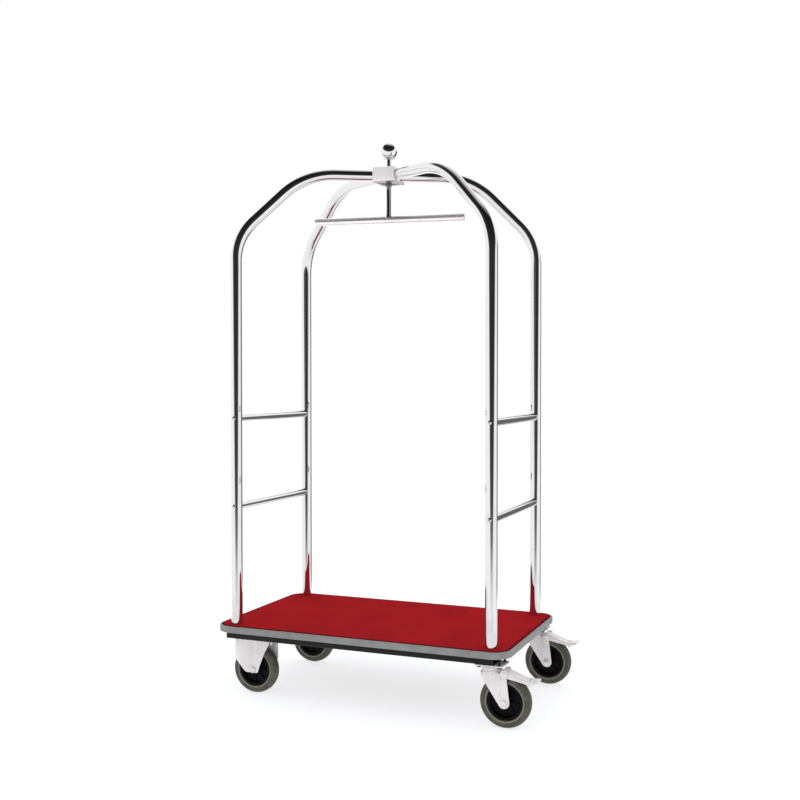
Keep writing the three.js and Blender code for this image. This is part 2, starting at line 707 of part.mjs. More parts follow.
const axleHole = () =>
  roundY(AXLE_RADIUS + FIT_GAP, -LEG_OUTER - 1, LEG_OUTER + 1, FINE_ROUND).translate([0, 0, WHEEL_RADIUS]);

// Legs on both sides of the wheel, cut to one outline.
const legPair = (outline) =>
  bothSides((side) => {
    const [from, to] = side > 0 ? [LEG_INNER, LEG_OUTER] : [-LEG_OUTER, -LEG_INNER];
    return plateY(outline, from, to);
  });

// A pressed housing of two like legs, one turned end for end; each has one straight and one curved edge.
function fixedHousing(name) {
  const { straight, curved, bottom } = HOUSING_FOOT;
  const outline = new THREE.Shape();
  outline.moveTo(straight, bottom);
  outline.lineTo(curved, bottom);
  outline.quadraticCurveTo(HOUSING_WAIST.x, HOUSING_WAIST.z, HOUSING_SHOULDER.x, HOUSING_SHOULDER.z);
  outline.lineTo(HOUSING_HALF, PLATE_BOTTOM + 1);
  outline.lineTo(-HOUSING_HALF, PLATE_BOTTOM + 1);
  outline.lineTo(-HOUSING_HALF, HOUSING_KNEE_HEIGHT);
  const frontLeg = plateY(outline, -LEG_OUTER, -LEG_INNER);
  const backLeg = frontLeg.rotate([0, 0, 180]);
  const plate = plateZ(
    FIXED_PLATE.halfX,
    FIXED_PLATE.halfY,
    CASTER_PLATE_CORNER,
    PLATE_BOTTOM,
    PLATE_TOP,
    SMALL_CORNER_STEPS,
  );
  return piece(name, cut(union(plate, frontLeg, backLeg), axleHole()), zinc);
}

function swivelPlate(name) {
  const plate = plateZ(
    SWIVEL_PLATE.halfX,
    SWIVEL_PLATE.halfY,
    CASTER_PLATE_CORNER,
    PLATE_BOTTOM,
    PLATE_TOP,
    SMALL_CORNER_STEPS,
  );
  const race = roundZ(RACE_RADIUS, RACE_BOTTOM, PLATE_BOTTOM + 1);
  const bore = roundZ(KINGPIN_RADIUS + FIT_GAP, RACE_BOTTOM - 1, PLATE_TOP + 1, FINE_ROUND);
  return piece(name, cut(union(plate, race), bore), zinc);
}

function kingpin(name) {
  const headTop = FORK_CROWN_BOTTOM - FIT_GAP;
  const headBottom = headTop - KINGPIN_HEAD_HEIGHT;
  const pinTop = PLATE_TOP - KINGPIN_END_EASE;
  const shape = turnedZ(
    [
      [0, headBottom],
      [KINGPIN_HEAD_RADIUS - KINGPIN_HEAD_EASE, headBottom],
      [KINGPIN_HEAD_RADIUS, headBottom + KINGPIN_HEAD_EASE],
      [KINGPIN_HEAD_RADIUS, headTop],
      [KINGPIN_RADIUS, headTop],
      [KINGPIN_RADIUS, pinTop],
      [0, pinTop],
    ],
    FINE_ROUND,
  );
  return piece(name, shape, zinc);
}

// The fork trails the swivel axis, with ears on its legs for the brake pedal's pivots.
function swivelFork(name) {
  const outline = new THREE.Shape();
  outline.moveTo(FORK_CROWN_FRONT, FORK_CROWN_TOP);
  outline.lineTo(FORK_CROWN_FRONT, FORK_KNEE_HEIGHT);
  outline.absarc(SWIVEL_TRAIL, WHEEL_RADIUS, FORK_FOOT_RADIUS, FORK_FOOT_FROM, FORK_FOOT_TO);
  outline.lineTo(EAR.back, EAR.bottom);
  outline.lineTo(EAR.back, EAR.top);
  outline.lineTo(EAR.front, EAR.top);
  outline.lineTo(CUP_OUTER, FORK_CROWN_TOP);
  const crown = block(
    [FORK_CROWN_FRONT, -LEG_INNER - 1, FORK_CROWN_BOTTOM],
    [FORK_CROWN_BACK, LEG_INNER + 1, FORK_CROWN_TOP],
  );
  const shoulders = roundZ(FORK_SHOULDER_RADIUS, FORK_CROWN_BOTTOM, FORK_CROWN_TOP);
  const cup = cut(
    roundZ(CUP_OUTER, FORK_CROWN_BOTTOM, CUP_TOP),
    roundZ(CUP_INNER, FORK_CROWN_TOP, CUP_TOP + 1),
  );
  const boreRadius = KINGPIN_RADIUS + FIT_GAP;
  const bore = roundZ(boreRadius, FORK_CROWN_BOTTOM - 1, FORK_CROWN_TOP + 1, FINE_ROUND);
  const pivots = roundY(PEDAL_PIN_RADIUS + FIT_GAP, -LEG_OUTER - 1, LEG_OUTER + 1, HIDDEN_ROUND);
  const shape = cut(
    union(legPair(outline), crown, shoulders, cup),
    bore,
    axleHole().translate([SWIVEL_TRAIL, 0, 0]),
    pivots.translate([PEDAL_PIVOT_X, 0, PEDAL_PIVOT_Z]),
  );
  return piece(name, shape, zinc);
}

// A pressed channel over the tyre, with a brake shoe under it and a pivot pin at each side.
function brakePedal(name) {
  const innerHalf = PEDAL_HALF_WIDTH - PEDAL_WALL;
  const shell = cut(
    plateY(PEDAL_OUTSIDE, -PEDAL_HALF_WIDTH, PEDAL_HALF_WIDTH),
    plateY(PEDAL_INSIDE, -innerHalf, innerHalf),
  );
  const shoeBlank = plateY(SHOE_BLANK, -SHOE_HALF_WIDTH, SHOE_HALF_WIDTH);
  const shoeReach = 2 * SHOE_HALF_WIDTH;
  const aroundTyre = roundY(WHEEL_RADIUS + SHOE_CLEARANCE, -shoeReach, shoeReach, WHEEL_ROUND);
  const shoe = cut(shoeBlank, aroundTyre.translate([SWIVEL_TRAIL, 0, WHEEL_RADIUS]));
  const pins = bothSides((side) => {
    const ends = [side * (PEDAL_HALF_WIDTH - 1), side * (LEG_OUTER - FIT_GAP)];
    return roundY(PEDAL_PIN_RADIUS, Math.min(...ends), Math.max(...ends), HIDDEN_ROUND);
  });
  const shape = union(shell, shoe, pins.translate([PEDAL_PIVOT_X, 0, PEDAL_PIVOT_Z]));
  return piece(name, shape, zinc);
}

function fixedCaster(name, side) {
  const caster = new THREE.Group();
  caster.position.set(FIXED_CASTER_X, side * FIXED_CASTER_Y, 0);
  caster.add(fixedHousing(`${name}_caster_housing`));
  caster.add(wheelSet(name, side));
  return caster;
}

function swivelCaster(name, side) {
  const caster = new THREE.Group();
  caster.position.set(SWIVEL_CASTER_X, side * SWIVEL_CASTER_Y, 0);
  caster.add(swivelPlate(`${name}_caster_plate`));
  caster.add(kingpin(`${name}_kingpin`));
  caster.add(swivelFork(`${name}_fork`));
  caster.add(brakePedal(`${name}_brake_pedal`));
  const wheel = wheelSet(name, side);
  wheel.position.x = SWIVEL_TRAIL;
  caster.add(wheel);
  return caster;
}

// ---------------------------------------------------------------- the cart

const FRONT = -1;
const BACK = 1;
const LEFT = -1;
const RIGHT = 1;
const CORNERS = [
  ["front_left", LEFT, FRONT],
  ["front_right", RIGHT, FRONT],
  ["back_left", LEFT, BACK],
  ["back_right", RIGHT, BACK],
];

const cart = new THREE.Group();

cart.add(deckBoard());
cart.add(deckCarpet());
cart.add(edgeBumper());
cart.add(frameRail("frame_rail_front", FRONT));
cart.add(frameRail("frame_rail_back", BACK));
for (const [place, x] of Object.entries(CROSSBAR_X)) {
  cart.add(crossbar(`frame_crossbar_${place}`, x));
}

for (const [corner, sideX, sideY] of CORNERS) {
  cart.add(bentPost(`post_${corner}`, sideX, sideY));
  cart.add(postAnchor(`post_anchor_${corner}`, sideX, sideY));
  for (const [level, height] of Object.entries(SIDE_RAIL_HEIGHTS)) {
    cart.add(railScrew(`rail_screw_${corner}_${level}`, sideX, sideY, height));
  }
}
for (const [level, height] of Object.entries(SIDE_RAIL_HEIGHTS)) {
  cart.add(sideRail(`side_rail_left_${level}`, LEFT, height));
  cart.add(sideRail(`side_rail_right_${level}`, RIGHT, height));
}

cart.add(crownBlock());
const hanger = new THREE.Group();
hanger.rotation.z = HANGER_TURN;
hanger.add(finialBall(), hangerRod(), hangerBar());
hanger.add(hangerCap("hanger_cap_left", LEFT), hangerCap("hanger_cap_right", RIGHT));
cart.add(hanger);

cart.add(fixedCaster("front_left", FRONT));
cart.add(fixedCaster("back_left", BACK));
cart.add(swivelCaster("front_right", FRONT));
cart.add(swivelCaster("back_right", BACK));

// The pedals reach past the deck at one end only, so the deck stands off the middle of the outline.
const reachRight = SWIVEL_CASTER_X + PEDAL_TIP;
cart.position.x = (BUMPER_OUTER_X - reachRight) / 2;

const luggageCart = new THREE.Group();
luggageCart.add(cart);

export default luggageCart;
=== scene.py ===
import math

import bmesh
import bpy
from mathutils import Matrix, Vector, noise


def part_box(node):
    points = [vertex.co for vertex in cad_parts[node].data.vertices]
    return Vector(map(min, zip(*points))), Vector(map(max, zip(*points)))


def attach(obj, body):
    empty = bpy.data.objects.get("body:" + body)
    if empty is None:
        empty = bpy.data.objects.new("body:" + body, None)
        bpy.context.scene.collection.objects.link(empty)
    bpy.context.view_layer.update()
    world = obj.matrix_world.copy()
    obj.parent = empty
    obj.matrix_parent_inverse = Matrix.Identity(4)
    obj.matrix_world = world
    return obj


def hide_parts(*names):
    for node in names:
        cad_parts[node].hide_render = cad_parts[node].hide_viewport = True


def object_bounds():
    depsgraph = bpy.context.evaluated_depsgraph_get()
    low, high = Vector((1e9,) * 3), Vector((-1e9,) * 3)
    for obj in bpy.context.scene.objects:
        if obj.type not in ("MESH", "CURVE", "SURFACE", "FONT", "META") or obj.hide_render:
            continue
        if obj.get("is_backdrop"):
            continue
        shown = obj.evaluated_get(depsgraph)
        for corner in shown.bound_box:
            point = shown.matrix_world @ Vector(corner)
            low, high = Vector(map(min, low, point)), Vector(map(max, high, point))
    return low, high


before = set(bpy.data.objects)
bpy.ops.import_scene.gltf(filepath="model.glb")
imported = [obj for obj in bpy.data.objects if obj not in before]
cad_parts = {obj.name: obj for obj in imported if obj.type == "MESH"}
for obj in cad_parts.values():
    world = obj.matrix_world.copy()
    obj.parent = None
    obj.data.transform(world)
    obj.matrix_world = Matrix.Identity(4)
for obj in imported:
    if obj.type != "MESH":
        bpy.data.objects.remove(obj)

# Hotel luggage cart: the finished pieces, their materials, the studio and the camera, in metres, +Z up.
#
# Places come from the frame's boxes. The sizes below belong to shapes that are finer here than in the
# frame: round tubes, pressed edges, chamfers, threads, the wheels' rings and the carpet's pile.

CAD_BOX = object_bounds()
MM = 0.001

# ---------------------------------------------------------------- sizes

ROUND_SIDES = 64  # of tubes and other large round shapes
WHEEL_SIDES = 96
SMALL_SIDES = 48
CREASE = math.radians(38)  # the least turn between two faces that shows as an edge
LONGEST_EASE = 0.45  # a rounded corner takes up at most this share of the sides beside it

POST_RADIUS = 19 * MM
POST_BEND_START = 1440 * MM
POST_BEND_RADIUS = 180 * MM
POST_SINK = 1 * MM  # how far a post's end reaches into the crown block
CROWN_SLOPE = math.radians(43.3)
CROWN_BEND_RADIUS = 255 * MM
BEND_STEPS = 18

RAIL_RADIUS = 12.5 * MM
RAIL_SINK = 0.4 * MM  # how far a side rail's end reaches into the post
SCREW_HEAD_RADIUS = 6.5 * MM
SCREW_HEAD_HEIGHT = 4 * MM
SCREW_DOME = 0.62  # share of the head's height that is domed
SCREW_SOCKET = 2.9 * MM  # of the hexagon, to its corners
SCREW_SOCKET_DEPTH = 2.6 * MM

BLOCK_CORNER = 3 * MM
BLOCK_EDGE = 1.2 * MM
BLOCK_SHADED_UNDERSIDE = 0.2 * MM  # height up to which the block's underside gets painted shade
ROD_RADIUS = 10 * MM
ROD_PLAY = 0.3 * MM  # between the rod and its hole in the block
STUD_RADIUS = 7 * MM  # of the rod's end, inside the finial
WELD_HEIGHT = 2.2 * MM  # above the garment bar
WELD_WIDTH = 2.4 * MM
BALL_RADIUS = 29 * MM
BALL_STEPS = 32
NECK_RADIUS = 8.5 * MM
CAP_LENGTH = 1.7 * MM
CAP_INSET = 0.25 * MM  # between the caps' ends and the ends of their boxes
CAP_CHAMFER = 0.6 * MM
CAP_DISH = 0.3 * MM
CAP_GROOVE = 0.35 * MM  # between the garment bar and its caps

BUMPER_THICKNESS = 7.2 * MM
BUMPER_CORNER = 53.3 * MM
BUMPER_CORNER_STEPS = 20
BUMPER_GAP = 0.3 * MM  # between the middle of the far side and each end of the strip
BUMPER_BULGE = 0.15 * MM
CARPET_CELL = 6 * MM
CARPET_CORNER = 53 * MM
CARPET_ROLL = 7 * MM  # width of the edge that is rounded down
CARPET_DROP = 0.8 * MM
CARPET_SHADED_RIM = 9 * MM  # width of the darker rim: painted shade where the carpet meets the bumper, and crushed pile
PILE_HEIGHT = 0.35 * MM
WAVES = 9  # trodden hollows in the pile, to the metre
TUFTS = 160
POST_HOLE = POST_RADIUS + 0.5 * MM  # radius of the carpet's hole round a post

FRAME_WALL = 2 * MM
FRAME_CORNER = 3 * MM

WHEEL_RADIUS = 80 * MM
HIGHLIGHT_RING_RADII = (58 * MM, 62 * MM)  # the tyre's raised ring, given a painted highlight
HUB_RIBS = 8
HUB_RIB_HALF = 1.4 * MM
AXLE_RADIUS = 6 * MM
AXLE_HEAD = 7 * MM
AXLE_TAIL = 14 * MM  # beyond the far leg
HEX_RADIUS = 10.5 * MM
SEAT_GAP = 0.3 * MM  # between a leg and the head or nut on it
THREADS = 9
THREAD_PITCH = 1.5 * MM
THREAD_DEPTH = 0.8 * MM
NUT_HEIGHT = 9 * MM
NUT_HEX_HEIGHT = 6.4 * MM
LEG_INNER = 23 * MM
LEG_THICKNESS = 3 * MM
LEG_OUTER = LEG_INNER + LEG_THICKNESS
PRESSED_EDGE = 0.9 * MM
PLATE_THICKNESS = 3.5 * MM
PLATE_CORNER = 6 * MM
PLATE_EDGE = 0.6 * MM
PLATE_BOLT_RADIUS = 4 * MM
PLATE_BOLT_HEX = 7.2 * MM
PLATE_BOLT_HEAD = 5.3 * MM
FIXED_BOLTS = (61 * MM, 35.5 * MM)  # from the middle of a fixed caster's plate
SWIVEL_BOLTS = (32 * MM, 28 * MM)
WEB_HALF_LENGTH = 66 * MM  # of the web that joins a fixed housing's legs
WEB_DEPTH = 9 * MM
WEB_BEND = 5 * MM
INLAID = 0.05 * MM  # the web's sides lie this far inside the legs' faces
TRAIL = 44 * MM
FOOT_RADIUS = 17.5 * MM
PIVOT = (43 * MM, 168 * MM)
PEDAL_HALF_WIDTH = 22.3 * MM
PEDAL_WALL = 2 * MM
SHOE_RADIUS = 91.8 * MM
SHOE_HALF_WIDTH = 15 * MM

CORNERS = {"front_left": (-1, -1), "front_right": (1, -1), "back_left": (-1, 1), "back_right": (1, 1)}
LEVELS = ("lower", "upper")


def centre(node):
    return halves(*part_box(node))[0]


def halves(low, high):
    """The middle of a box and half of its size."""
    return (low + high) / 2, (high - low) / 2


def in_mm(*points):
    """Points given in millimetres, as metres."""
    return [Vector(point) * MM for point in points]


# ---------------------------------------------------------------- shapes


class Shape:
    """Points and faces of one or more closed shells."""

    def __init__(self, points, faces):
        self.points = [Vector(point) for point in points]
        self.faces = faces

    def moved(self, matrix):
        return Shape([matrix @ point for point in self.points], self.faces)

    def at(self, x=0.0, y=0.0, z=0.0):
        return self.moved(Matrix.Translation((x, y, z)))

    def __add__(self, other):
        start = len(self.points)
        faces = [tuple(start + i for i in face) for face in other.faces]
        return Shape(self.points + other.points, self.faces + faces)


def reordered(order):
    """A matrix that puts a point's coordinates in another order, such as xzy."""
    return Matrix([[float(axis == letter) for letter in "xyz"] for axis in order]).to_4x4()


SWAP_YZ = reordered("xzy")  # stands a flat shape up
SWAP_XZ = reordered("zyx")
SWAP_XY = reordered("yxz")
MIRROR_X = Matrix.Scale(-1, 4, (1, 0, 0))
MIRROR_Y = Matrix.Scale(-1, 4, (0, 1, 0))
MIRROR_Z = Matrix.Scale(-1, 4, (0, 0, 1))
HALF_TURN = Matrix.Rotation(math.pi, 4, "Z")
AS_IT_IS = Matrix.Identity(4)


def loft(rings, looped=False):
    """A skin over rings of equally many points, with flat ends unless the last ring joins the first."""
    count = len(rings[0])
    faces = []
    for i in range(len(rings) if looped else len(rings) - 1):
        a, b = i * count, (i + 1) % len(rings) * count
        for j in range(count):
            k = (j + 1) % count
            faces.append((a + j, a + k, b + k, b + j))
    if not looped:
        last = (len(rings) - 1) * count
        faces.append(tuple(range(count)))
        faces.append(tuple(range(last, last + count)))
    return Shape([point for ring in rings for point in ring], faces)


def arc(x, y, radius, start, end, steps):
    angles = [start + (end - start) * i / steps for i in range(steps + 1)]
    return [(x + radius * math.cos(a), y + radius * math.sin(a)) for a in angles]


def circle(radius):
    return arc(0, 0, radius, 0, 2 * math.pi, ROUND_SIDES)[:-1]


def bowed(start, control, end, steps):
    """A curve from start to end that leaves towards a control point and arrives from it."""
    shares = [i / steps for i in range(steps + 1)]
    return [start * (1 - t) ** 2 + control * 2 * t * (1 - t) + end * t**2 for t in shares]


def eased(points, setback, steps=4, closed=True):
    """An outline with each corner rounded from setback before it to setback after it."""
    result = []
    count = len(points)
    for i, point in enumerate(points):
        corner = Vector(point)
        if not closed and i in (0, count - 1):
            result.append(corner)
            continue
        before = Vector(points[i - 1]) - corner
        after = Vector(points[(i + 1) % count]) - corner
        start = corner + before.normalized() * min(setback, before.length * LONGEST_EASE)
        end = corner + after.normalized() * min(setback, after.length * LONGEST_EASE)
        result += bowed(start, corner, end, steps)
    return result


def inset(outline, distance):
    """An outline drawn in by a small distance."""
    points = [Vector(point) for point in outline]
    count = len(points)
    area = sum(points[i - 1].x * points[i].y - points[i].x * points[i - 1].y for i in range(count))
    turn = 1 if area > 0 else -1
    result = []
    for i, point in enumerate(points):
        before = (point - points[i - 1]).normalized()
        after = (points[(i + 1) % count] - point).normalized()
        first = Vector((-before.y, before.x)) * turn
        second = Vector((-after.y, after.x)) * turn
        narrowness = max(1 + first.dot(second), 0.4)  # a sharp corner is drawn in no further than this
        result.append(point + (first + second) * distance / narrowness)
    return result


def plate(outline, low, high, edge=PRESSED_EDGE, steps=3):
    """A flat plate between two heights, with rounded rims."""
    rings = []
    for i in range(steps + 1):
        angle = math.pi / 2 * i / steps
        ring = inset(outline, edge * (1 - math.sin(angle)))
        rings.append([(p[0], p[1], low + edge * (1 - math.cos(angle))) for p in ring])
    rings += [[(x, y, low + high - z) for x, y, z in ring] for ring in reversed(rings)]
    return loft(rings)


def standing(outline, low, high, edge=PRESSED_EDGE, steps=3):
    """A plate cut to an outline of [x, z] points, from one y to another."""
    return plate(outline, low, high, edge, steps).moved(SWAP_YZ)


def rounded_rectangle(half_x, half_y, corner, steps=6):
    outline = []
    for i, (side_x, side_y) in enumerate(((1, 1), (-1, 1), (-1, -1), (1, -1))):
        start = math.pi / 2 * i
        x, y = side_x * (half_x - corner), side_y * (half_y - corner)
        outline += arc(x, y, corner, start, start + math.pi / 2, steps)
    return outline


def hexagon_reach(angle):
    """How far a hexagon reaches at an angle, as a share of its corner radius."""
    sixth = math.pi / 3
    return math.cos(sixth / 2) / math.cos((angle + sixth / 2) % sixth - sixth / 2)


def turned(profile, sides=SMALL_SIDES, looped=False):
    """A turned solid about Z from (radius, z) points; a third value of 6 makes that ring a hexagon."""
    rings = []
    for radius, height, *shape in profile:
        ring = []
        for i in range(sides):
            angle = 2 * math.pi * i / sides
            reach = radius * (hexagon_reach(angle) if shape else 1)
            ring.append((reach * math.cos(angle), reach * math.sin(angle), height))
        rings.append(ring)
    return loft(rings, looped)


def swept(path, section, normal):
    """A section of (out, up) points carried along a flat path; up is the normal of the path's plane."""
    rings = []
    for i, point in enumerate(path):
        before = path[max(i - 1, 0)]
        after = path[min(i + 1, len(path) - 1)]
        out = (after - before).normalized().cross(normal)
        rings.append([point + out * u + normal * v for u, v in section])
    return loft(rings)


# ---------------------------------------------------------------- materials


def linear(red, green, blue):
    """A colour given as it is seen, 0 to 255, in the renderer's linear values."""
    seen = (red / 255, green / 255, blue / 255)
    return tuple(c / 12.92 if c <= 0.04045 else ((c + 0.055) / 1.055) ** 2.4 for c in seen)


class Graph:
    """A node tree being filled, with short calls for its nodes."""

    def __init__(self, tree):
        self.nodes = tree.nodes
        self.links = tree.links

    def feed(self, socket, value):
        """Links a socket to another node's output, or sets it to a constant."""
        if isinstance(value, bpy.types.NodeSocket):
            self.links.new(value, socket)
        else:
            socket.default_value = value

    def feed_inputs(self, node, inputs):
        """Feeds a node's inputs by name, an underscore standing for a space."""
        for name, value in inputs.items():
            self.feed(node.inputs[name.replace("_", " ")], value)

    def node(self, kind, **inputs):
        node = self.nodes.new(kind)
        self.feed_inputs(node, inputs)
        return node

    def calc(self, operation, *values):
        node = self.nodes.new("ShaderNodeMath")
        node.operation = operation
        for socket, value in zip(node.inputs, values):
            self.feed(socket, value)
        return node.outputs["Value"]

    def times(self, first, second):
        return self.calc("MULTIPLY", first, second)

    def plus(self, first, second):
        return self.calc("ADD", first, second)

    def minus(self, first, second):
        return self.calc("SUBTRACT", first, second)

    def spread(self, value, low, high, to_low=0.0, to_high=1.0):
        """value from low to high, eased, becomes to_low to to_high."""
        limits = {"From_Min": low, "From_Max": high, "To_Min": to_low, "To_Max": to_high}
        node = self.node("ShaderNodeMapRange", Value=value, **limits)
        node.interpolation_type = "SMOOTHSTEP"
        return node.outputs["Result"]


class Finish(Graph):
    """A material being made: a Principled shader and short calls for the nodes that feed it."""

    def __init__(self, name, **constants):
        self.material = bpy.data.materials.new(name)
        self.material.use_nodes = True
        super().__init__(self.material.node_tree)
        self.shader = self.nodes["Principled BSDF"]
        self.feed_inputs(self.shader, constants)

    @property
    def place(self):
        """Where a point is on its object."""
        return self.node("ShaderNodeTexCoord").outputs["Object"]

    def stretched(self, x, y, z):
        return self.node("ShaderNodeMapping", Vector=self.place, Scale=(x, y, z)).outputs["Vector"]

    def noise(self, scale, detail=3.0, roughness=0.55, where=None):
        looks = {"Scale": scale, "Detail": detail, "Roughness": roughness}
        return self.node("ShaderNodeTexNoise", Vector=where or self.place, **looks).outputs["Fac"]

    def cells(self, scale):
        return self.node("ShaderNodeTexVoronoi", Vector=self.place, Scale=scale).outputs["Distance"]

    def painted(self, attribute):
        """A value that a piece carries on its points."""
        node = self.node("ShaderNodeAttribute")
        node.attribute_name = attribute
        return node.outputs["Fac"]

    def height(self):
        return self.node("ShaderNodeSeparateXYZ", Vector=self.place).outputs["Z"]

    def mix(self, factor, first, second):
        node = self.node("ShaderNodeMix")
        node.data_type = "RGBA"
        self.feed(node.inputs["Factor"], factor)
        colours = [socket for socket in node.inputs if socket.type == "RGBA"]
        for socket, value in zip(colours, (first, second)):
            self.feed(socket, value if isinstance(value, bpy.types.NodeSocket) else (*value, 1))
        return next(socket for socket in node.outputs if socket.type == "RGBA")

    def colour(self, value):
        self.feed(self.shader.inputs["Base Color"], value)

    def roughness(self, value):
        self.feed(self.shader.inputs["Roughness"], value)

    def bump(self, *layers):
        """Bumps laid over each other, each a (height, distance in metres) pair."""
        below = {}
        for height, distance in layers:
            node = self.node("ShaderNodeBump", Height=height, Distance=distance, Strength=1.0, **below)
            below = {"Normal": node.outputs["Normal"]}
        self.feed_inputs(self.shader, below)


def chrome():
    """Polished plating: faint ripple, thumb smears and hairlines where hands and bags rub it."""
    finish = Finish("polished_chrome", Metallic=1.0)
    smear = finish.spread(finish.noise(9, 5, 0.6), 0.52, 0.72)
    hair = finish.spread(finish.noise(70, 4, 0.7, finish.stretched(9, 9, 0.6)), 0.6, 0.74)
    rubbed = finish.spread(finish.height(), 0.235, 0.31, 0.06, 0.0)  # from the deck up, in metres
    wear = finish.times(hair, rubbed)
    finish.colour(finish.mix(smear, (0.665, 0.662, 0.668), (0.625, 0.620, 0.622)))
    finish.roughness(finish.plus(finish.spread(smear, 0, 1, 0.025, 0.075), wear))
    finish.bump((finish.noise(26, 2), 0.00006), (hair, 0.000004))
    return finish.material


def satin_chrome(name="satin_chrome", metallic=0.85, gloss=(0.3, 0.4)):
    """Plating over brushed steel: pale, softly glossy, smeared by hands, with painted shade where a piece
    marks its underside.
    """
    finish = Finish(name, Metallic=metallic)
    smear = finish.noise(14, 4, 0.6)
    tone = finish.mix(finish.spread(smear, 0.4, 0.7), (0.93, 0.895, 0.90), (0.86, 0.825, 0.83))
    # painted shade: near black where the piece's 'under' attribute is set
    finish.colour(finish.mix(finish.painted("under"), tone, (0.16, 0.155, 0.155)))
    finish.roughness(finish.spread(smear, 0.3, 0.7, *gloss))
    finish.bump((finish.noise(60, 3), 0.00001))
    return finish.material


def pale_plate():
    """The crown block's bead-blasted plate, paler and duller than the tubes."""
    return satin_chrome("pale_plate", 0.12, (0.2, 0.3))


def zinc():
    """Bright zinc on pressed steel: soft streaks from the press, a satin grain and a few dull patches."""
    finish = Finish("bright_zinc", Metallic=0.3)
    streak = finish.noise(32, 5, 0.6, finish.stretched(1.0, 1.0, 0.16))
    patch = finish.noise(38, 4, 0.6)
    grain = finish.noise(1400, 2)
    tone = finish.mix(finish.spread(streak, 0.35, 0.65), (0.86, 0.82, 0.82), (0.77, 0.73, 0.735))
    finish.colour(finish.mix(finish.spread(patch, 0.58, 0.74, 0, 0.5), tone, (0.62, 0.585, 0.58)))
    finish.roughness(finish.spread(patch, 0.3, 0.75, 0.42, 0.58))
    finish.bump((streak, 0.00012), (grain, 0.000018))
    return finish.material


def black_paint():
    """Powder coat: a fine orange peel with dust on it and small scuffs."""
    finish = Finish("black_powder_coat", IOR=1.5, Specular_IOR_Level=0.25)
    peel = finish.noise(520, 2)
    dust = finish.spread(finish.noise(22, 5, 0.65), 0.5, 0.75)
    scuff = finish.spread(finish.noise(60, 6, 0.75, finish.stretched(0.35, 3, 3)), 0.66, 0.74)
    tone = finish.mix(dust, linear(15, 14, 12), linear(28, 26, 22))
    finish.colour(finish.mix(scuff, tone, linear(60, 58, 52)))
    finish.roughness(finish.spread(dust, 0, 1, 0.38, 0.6))
    finish.bump((peel, 0.00009))
    return finish.material


def plywood():
    """Dark sealed birch ply: grained faces and the dark and light plies along its edges."""
    finish = Finish("birch_plywood", IOR=1.45)
    grain = finish.noise(30, 5, 0.6, finish.stretched(0.25, 5, 1))
    plies = finish.spread(finish.noise(420, 0, 0.5, finish.stretched(0.01, 0.01, 1)), 0.45, 0.55)
    tone = finish.mix(finish.spread(grain, 0.35, 0.65), linear(104, 82, 58), linear(78, 60, 42))
    finish.colour(finish.mix(finish.times(plies, 0.5), tone, linear(52, 38, 26)))
    finish.roughness(finish.spread(grain, 0.3, 0.7, 0.6, 0.78))
    finish.bump((grain, 0.0002))
    return finish.material


def carpet():
    """Red looped pile, trodden a little flat in places."""
    finish = Finish("red_carpet", Specular_IOR_Level=0.0)
    loops = finish.cells(620)
    fibre = finish.noise(1500, 2)
    trodden = finish.noise(7, 4, 0.6)
    fleck = finish.noise(240, 3, 0.7)
    tone = finish.mix(finish.spread(trodden, 0.35, 0.66), linear(172, 34, 39), linear(157, 34, 38))
    tone = finish.mix(finish.spread(loops, 0.15, 0.6, 0, 0.45), tone, linear(126, 20, 25))
    tone = finish.mix(finish.spread(fleck, 0.55, 0.75, 0, 0.3), tone, linear(190, 48, 52))
    # darker near the edge, from the rim attribute: painted shade against the bumper, and crushed pile
    finish.colour(finish.mix(finish.painted("rim"), tone, linear(70, 12, 16)))
    finish.roughness(finish.spread(fibre, 0.3, 0.7, 0.88, 1.0))
    finish.bump((loops, -0.0003), (fibre, 0.0001), (trodden, 0.0008))
    return finish.material


def bumper_rubber():
    """Grey moulded rubber with a dusty bloom, rubbed darker and scratched where it meets walls."""
    finish = Finish("grey_bumper_rubber", IOR=1.5)
    bloom = finish.noise(16, 5, 0.6)
    grain = finish.noise(900, 2)
    rub = finish.spread(finish.noise(30, 6, 0.7, finish.stretched(0.5, 0.5, 6)), 0.58, 0.72)
    tone = finish.mix(finish.spread(bloom, 0.35, 0.66), linear(124, 127, 125), linear(140, 142, 139))
    finish.colour(finish.mix(finish.times(rub, 0.5), tone, linear(88, 90, 90)))
    finish.roughness(finish.spread(bloom, 0.3, 0.7, 0.42, 0.6))
    finish.bump((grain, 0.00006), (rub, -0.00008))
    return finish.material


def tyre_rubber():
    """Olive grey tyre rubber, floor dust ground into it."""
    finish = Finish("tyre_rubber", IOR=1.5)
    dust = finish.noise(60, 5, 0.65)
    grain = finish.noise(800, 3)
    tone = finish.mix(finish.spread(dust, 0.4, 0.7), linear(66, 66, 53), linear(96, 94, 78))
    # paler on the raised ring, from the ring attribute: a painted highlight
    finish.colour(finish.mix(finish.painted("ring"), tone, linear(120, 118, 105)))
    finish.roughness(finish.spread(dust, 0.3, 0.7, 0.5, 0.72))
    finish.bump((grain, 0.00010), (dust, 0.00010))
    return finish.material


def black_plastic():
    """Moulded black plastic with a fine spark-eroded skin."""
    finish = Finish("black_moulded_plastic", IOR=1.49, Specular_IOR_Level=0.12)
    skin = finish.noise(1100, 2)
    dust = finish.spread(finish.noise(48, 4, 0.6), 0.55, 0.8)
    finish.colour(finish.mix(dust, linear(4, 5, 3), linear(15, 16, 13)))
    finish.roughness(finish.spread(dust, 0, 1, 0.5, 0.7))
    finish.bump((skin, 0.00005))
    return finish.material


MAKERS = (chrome, satin_chrome, pale_plate, zinc, black_paint, plywood, carpet)
MAKERS += (bumper_rubber, tyre_rubber, black_plastic)
MATERIALS = {make.__name__: make() for make in MAKERS}

# ---------------------------------------------------------------- pieces


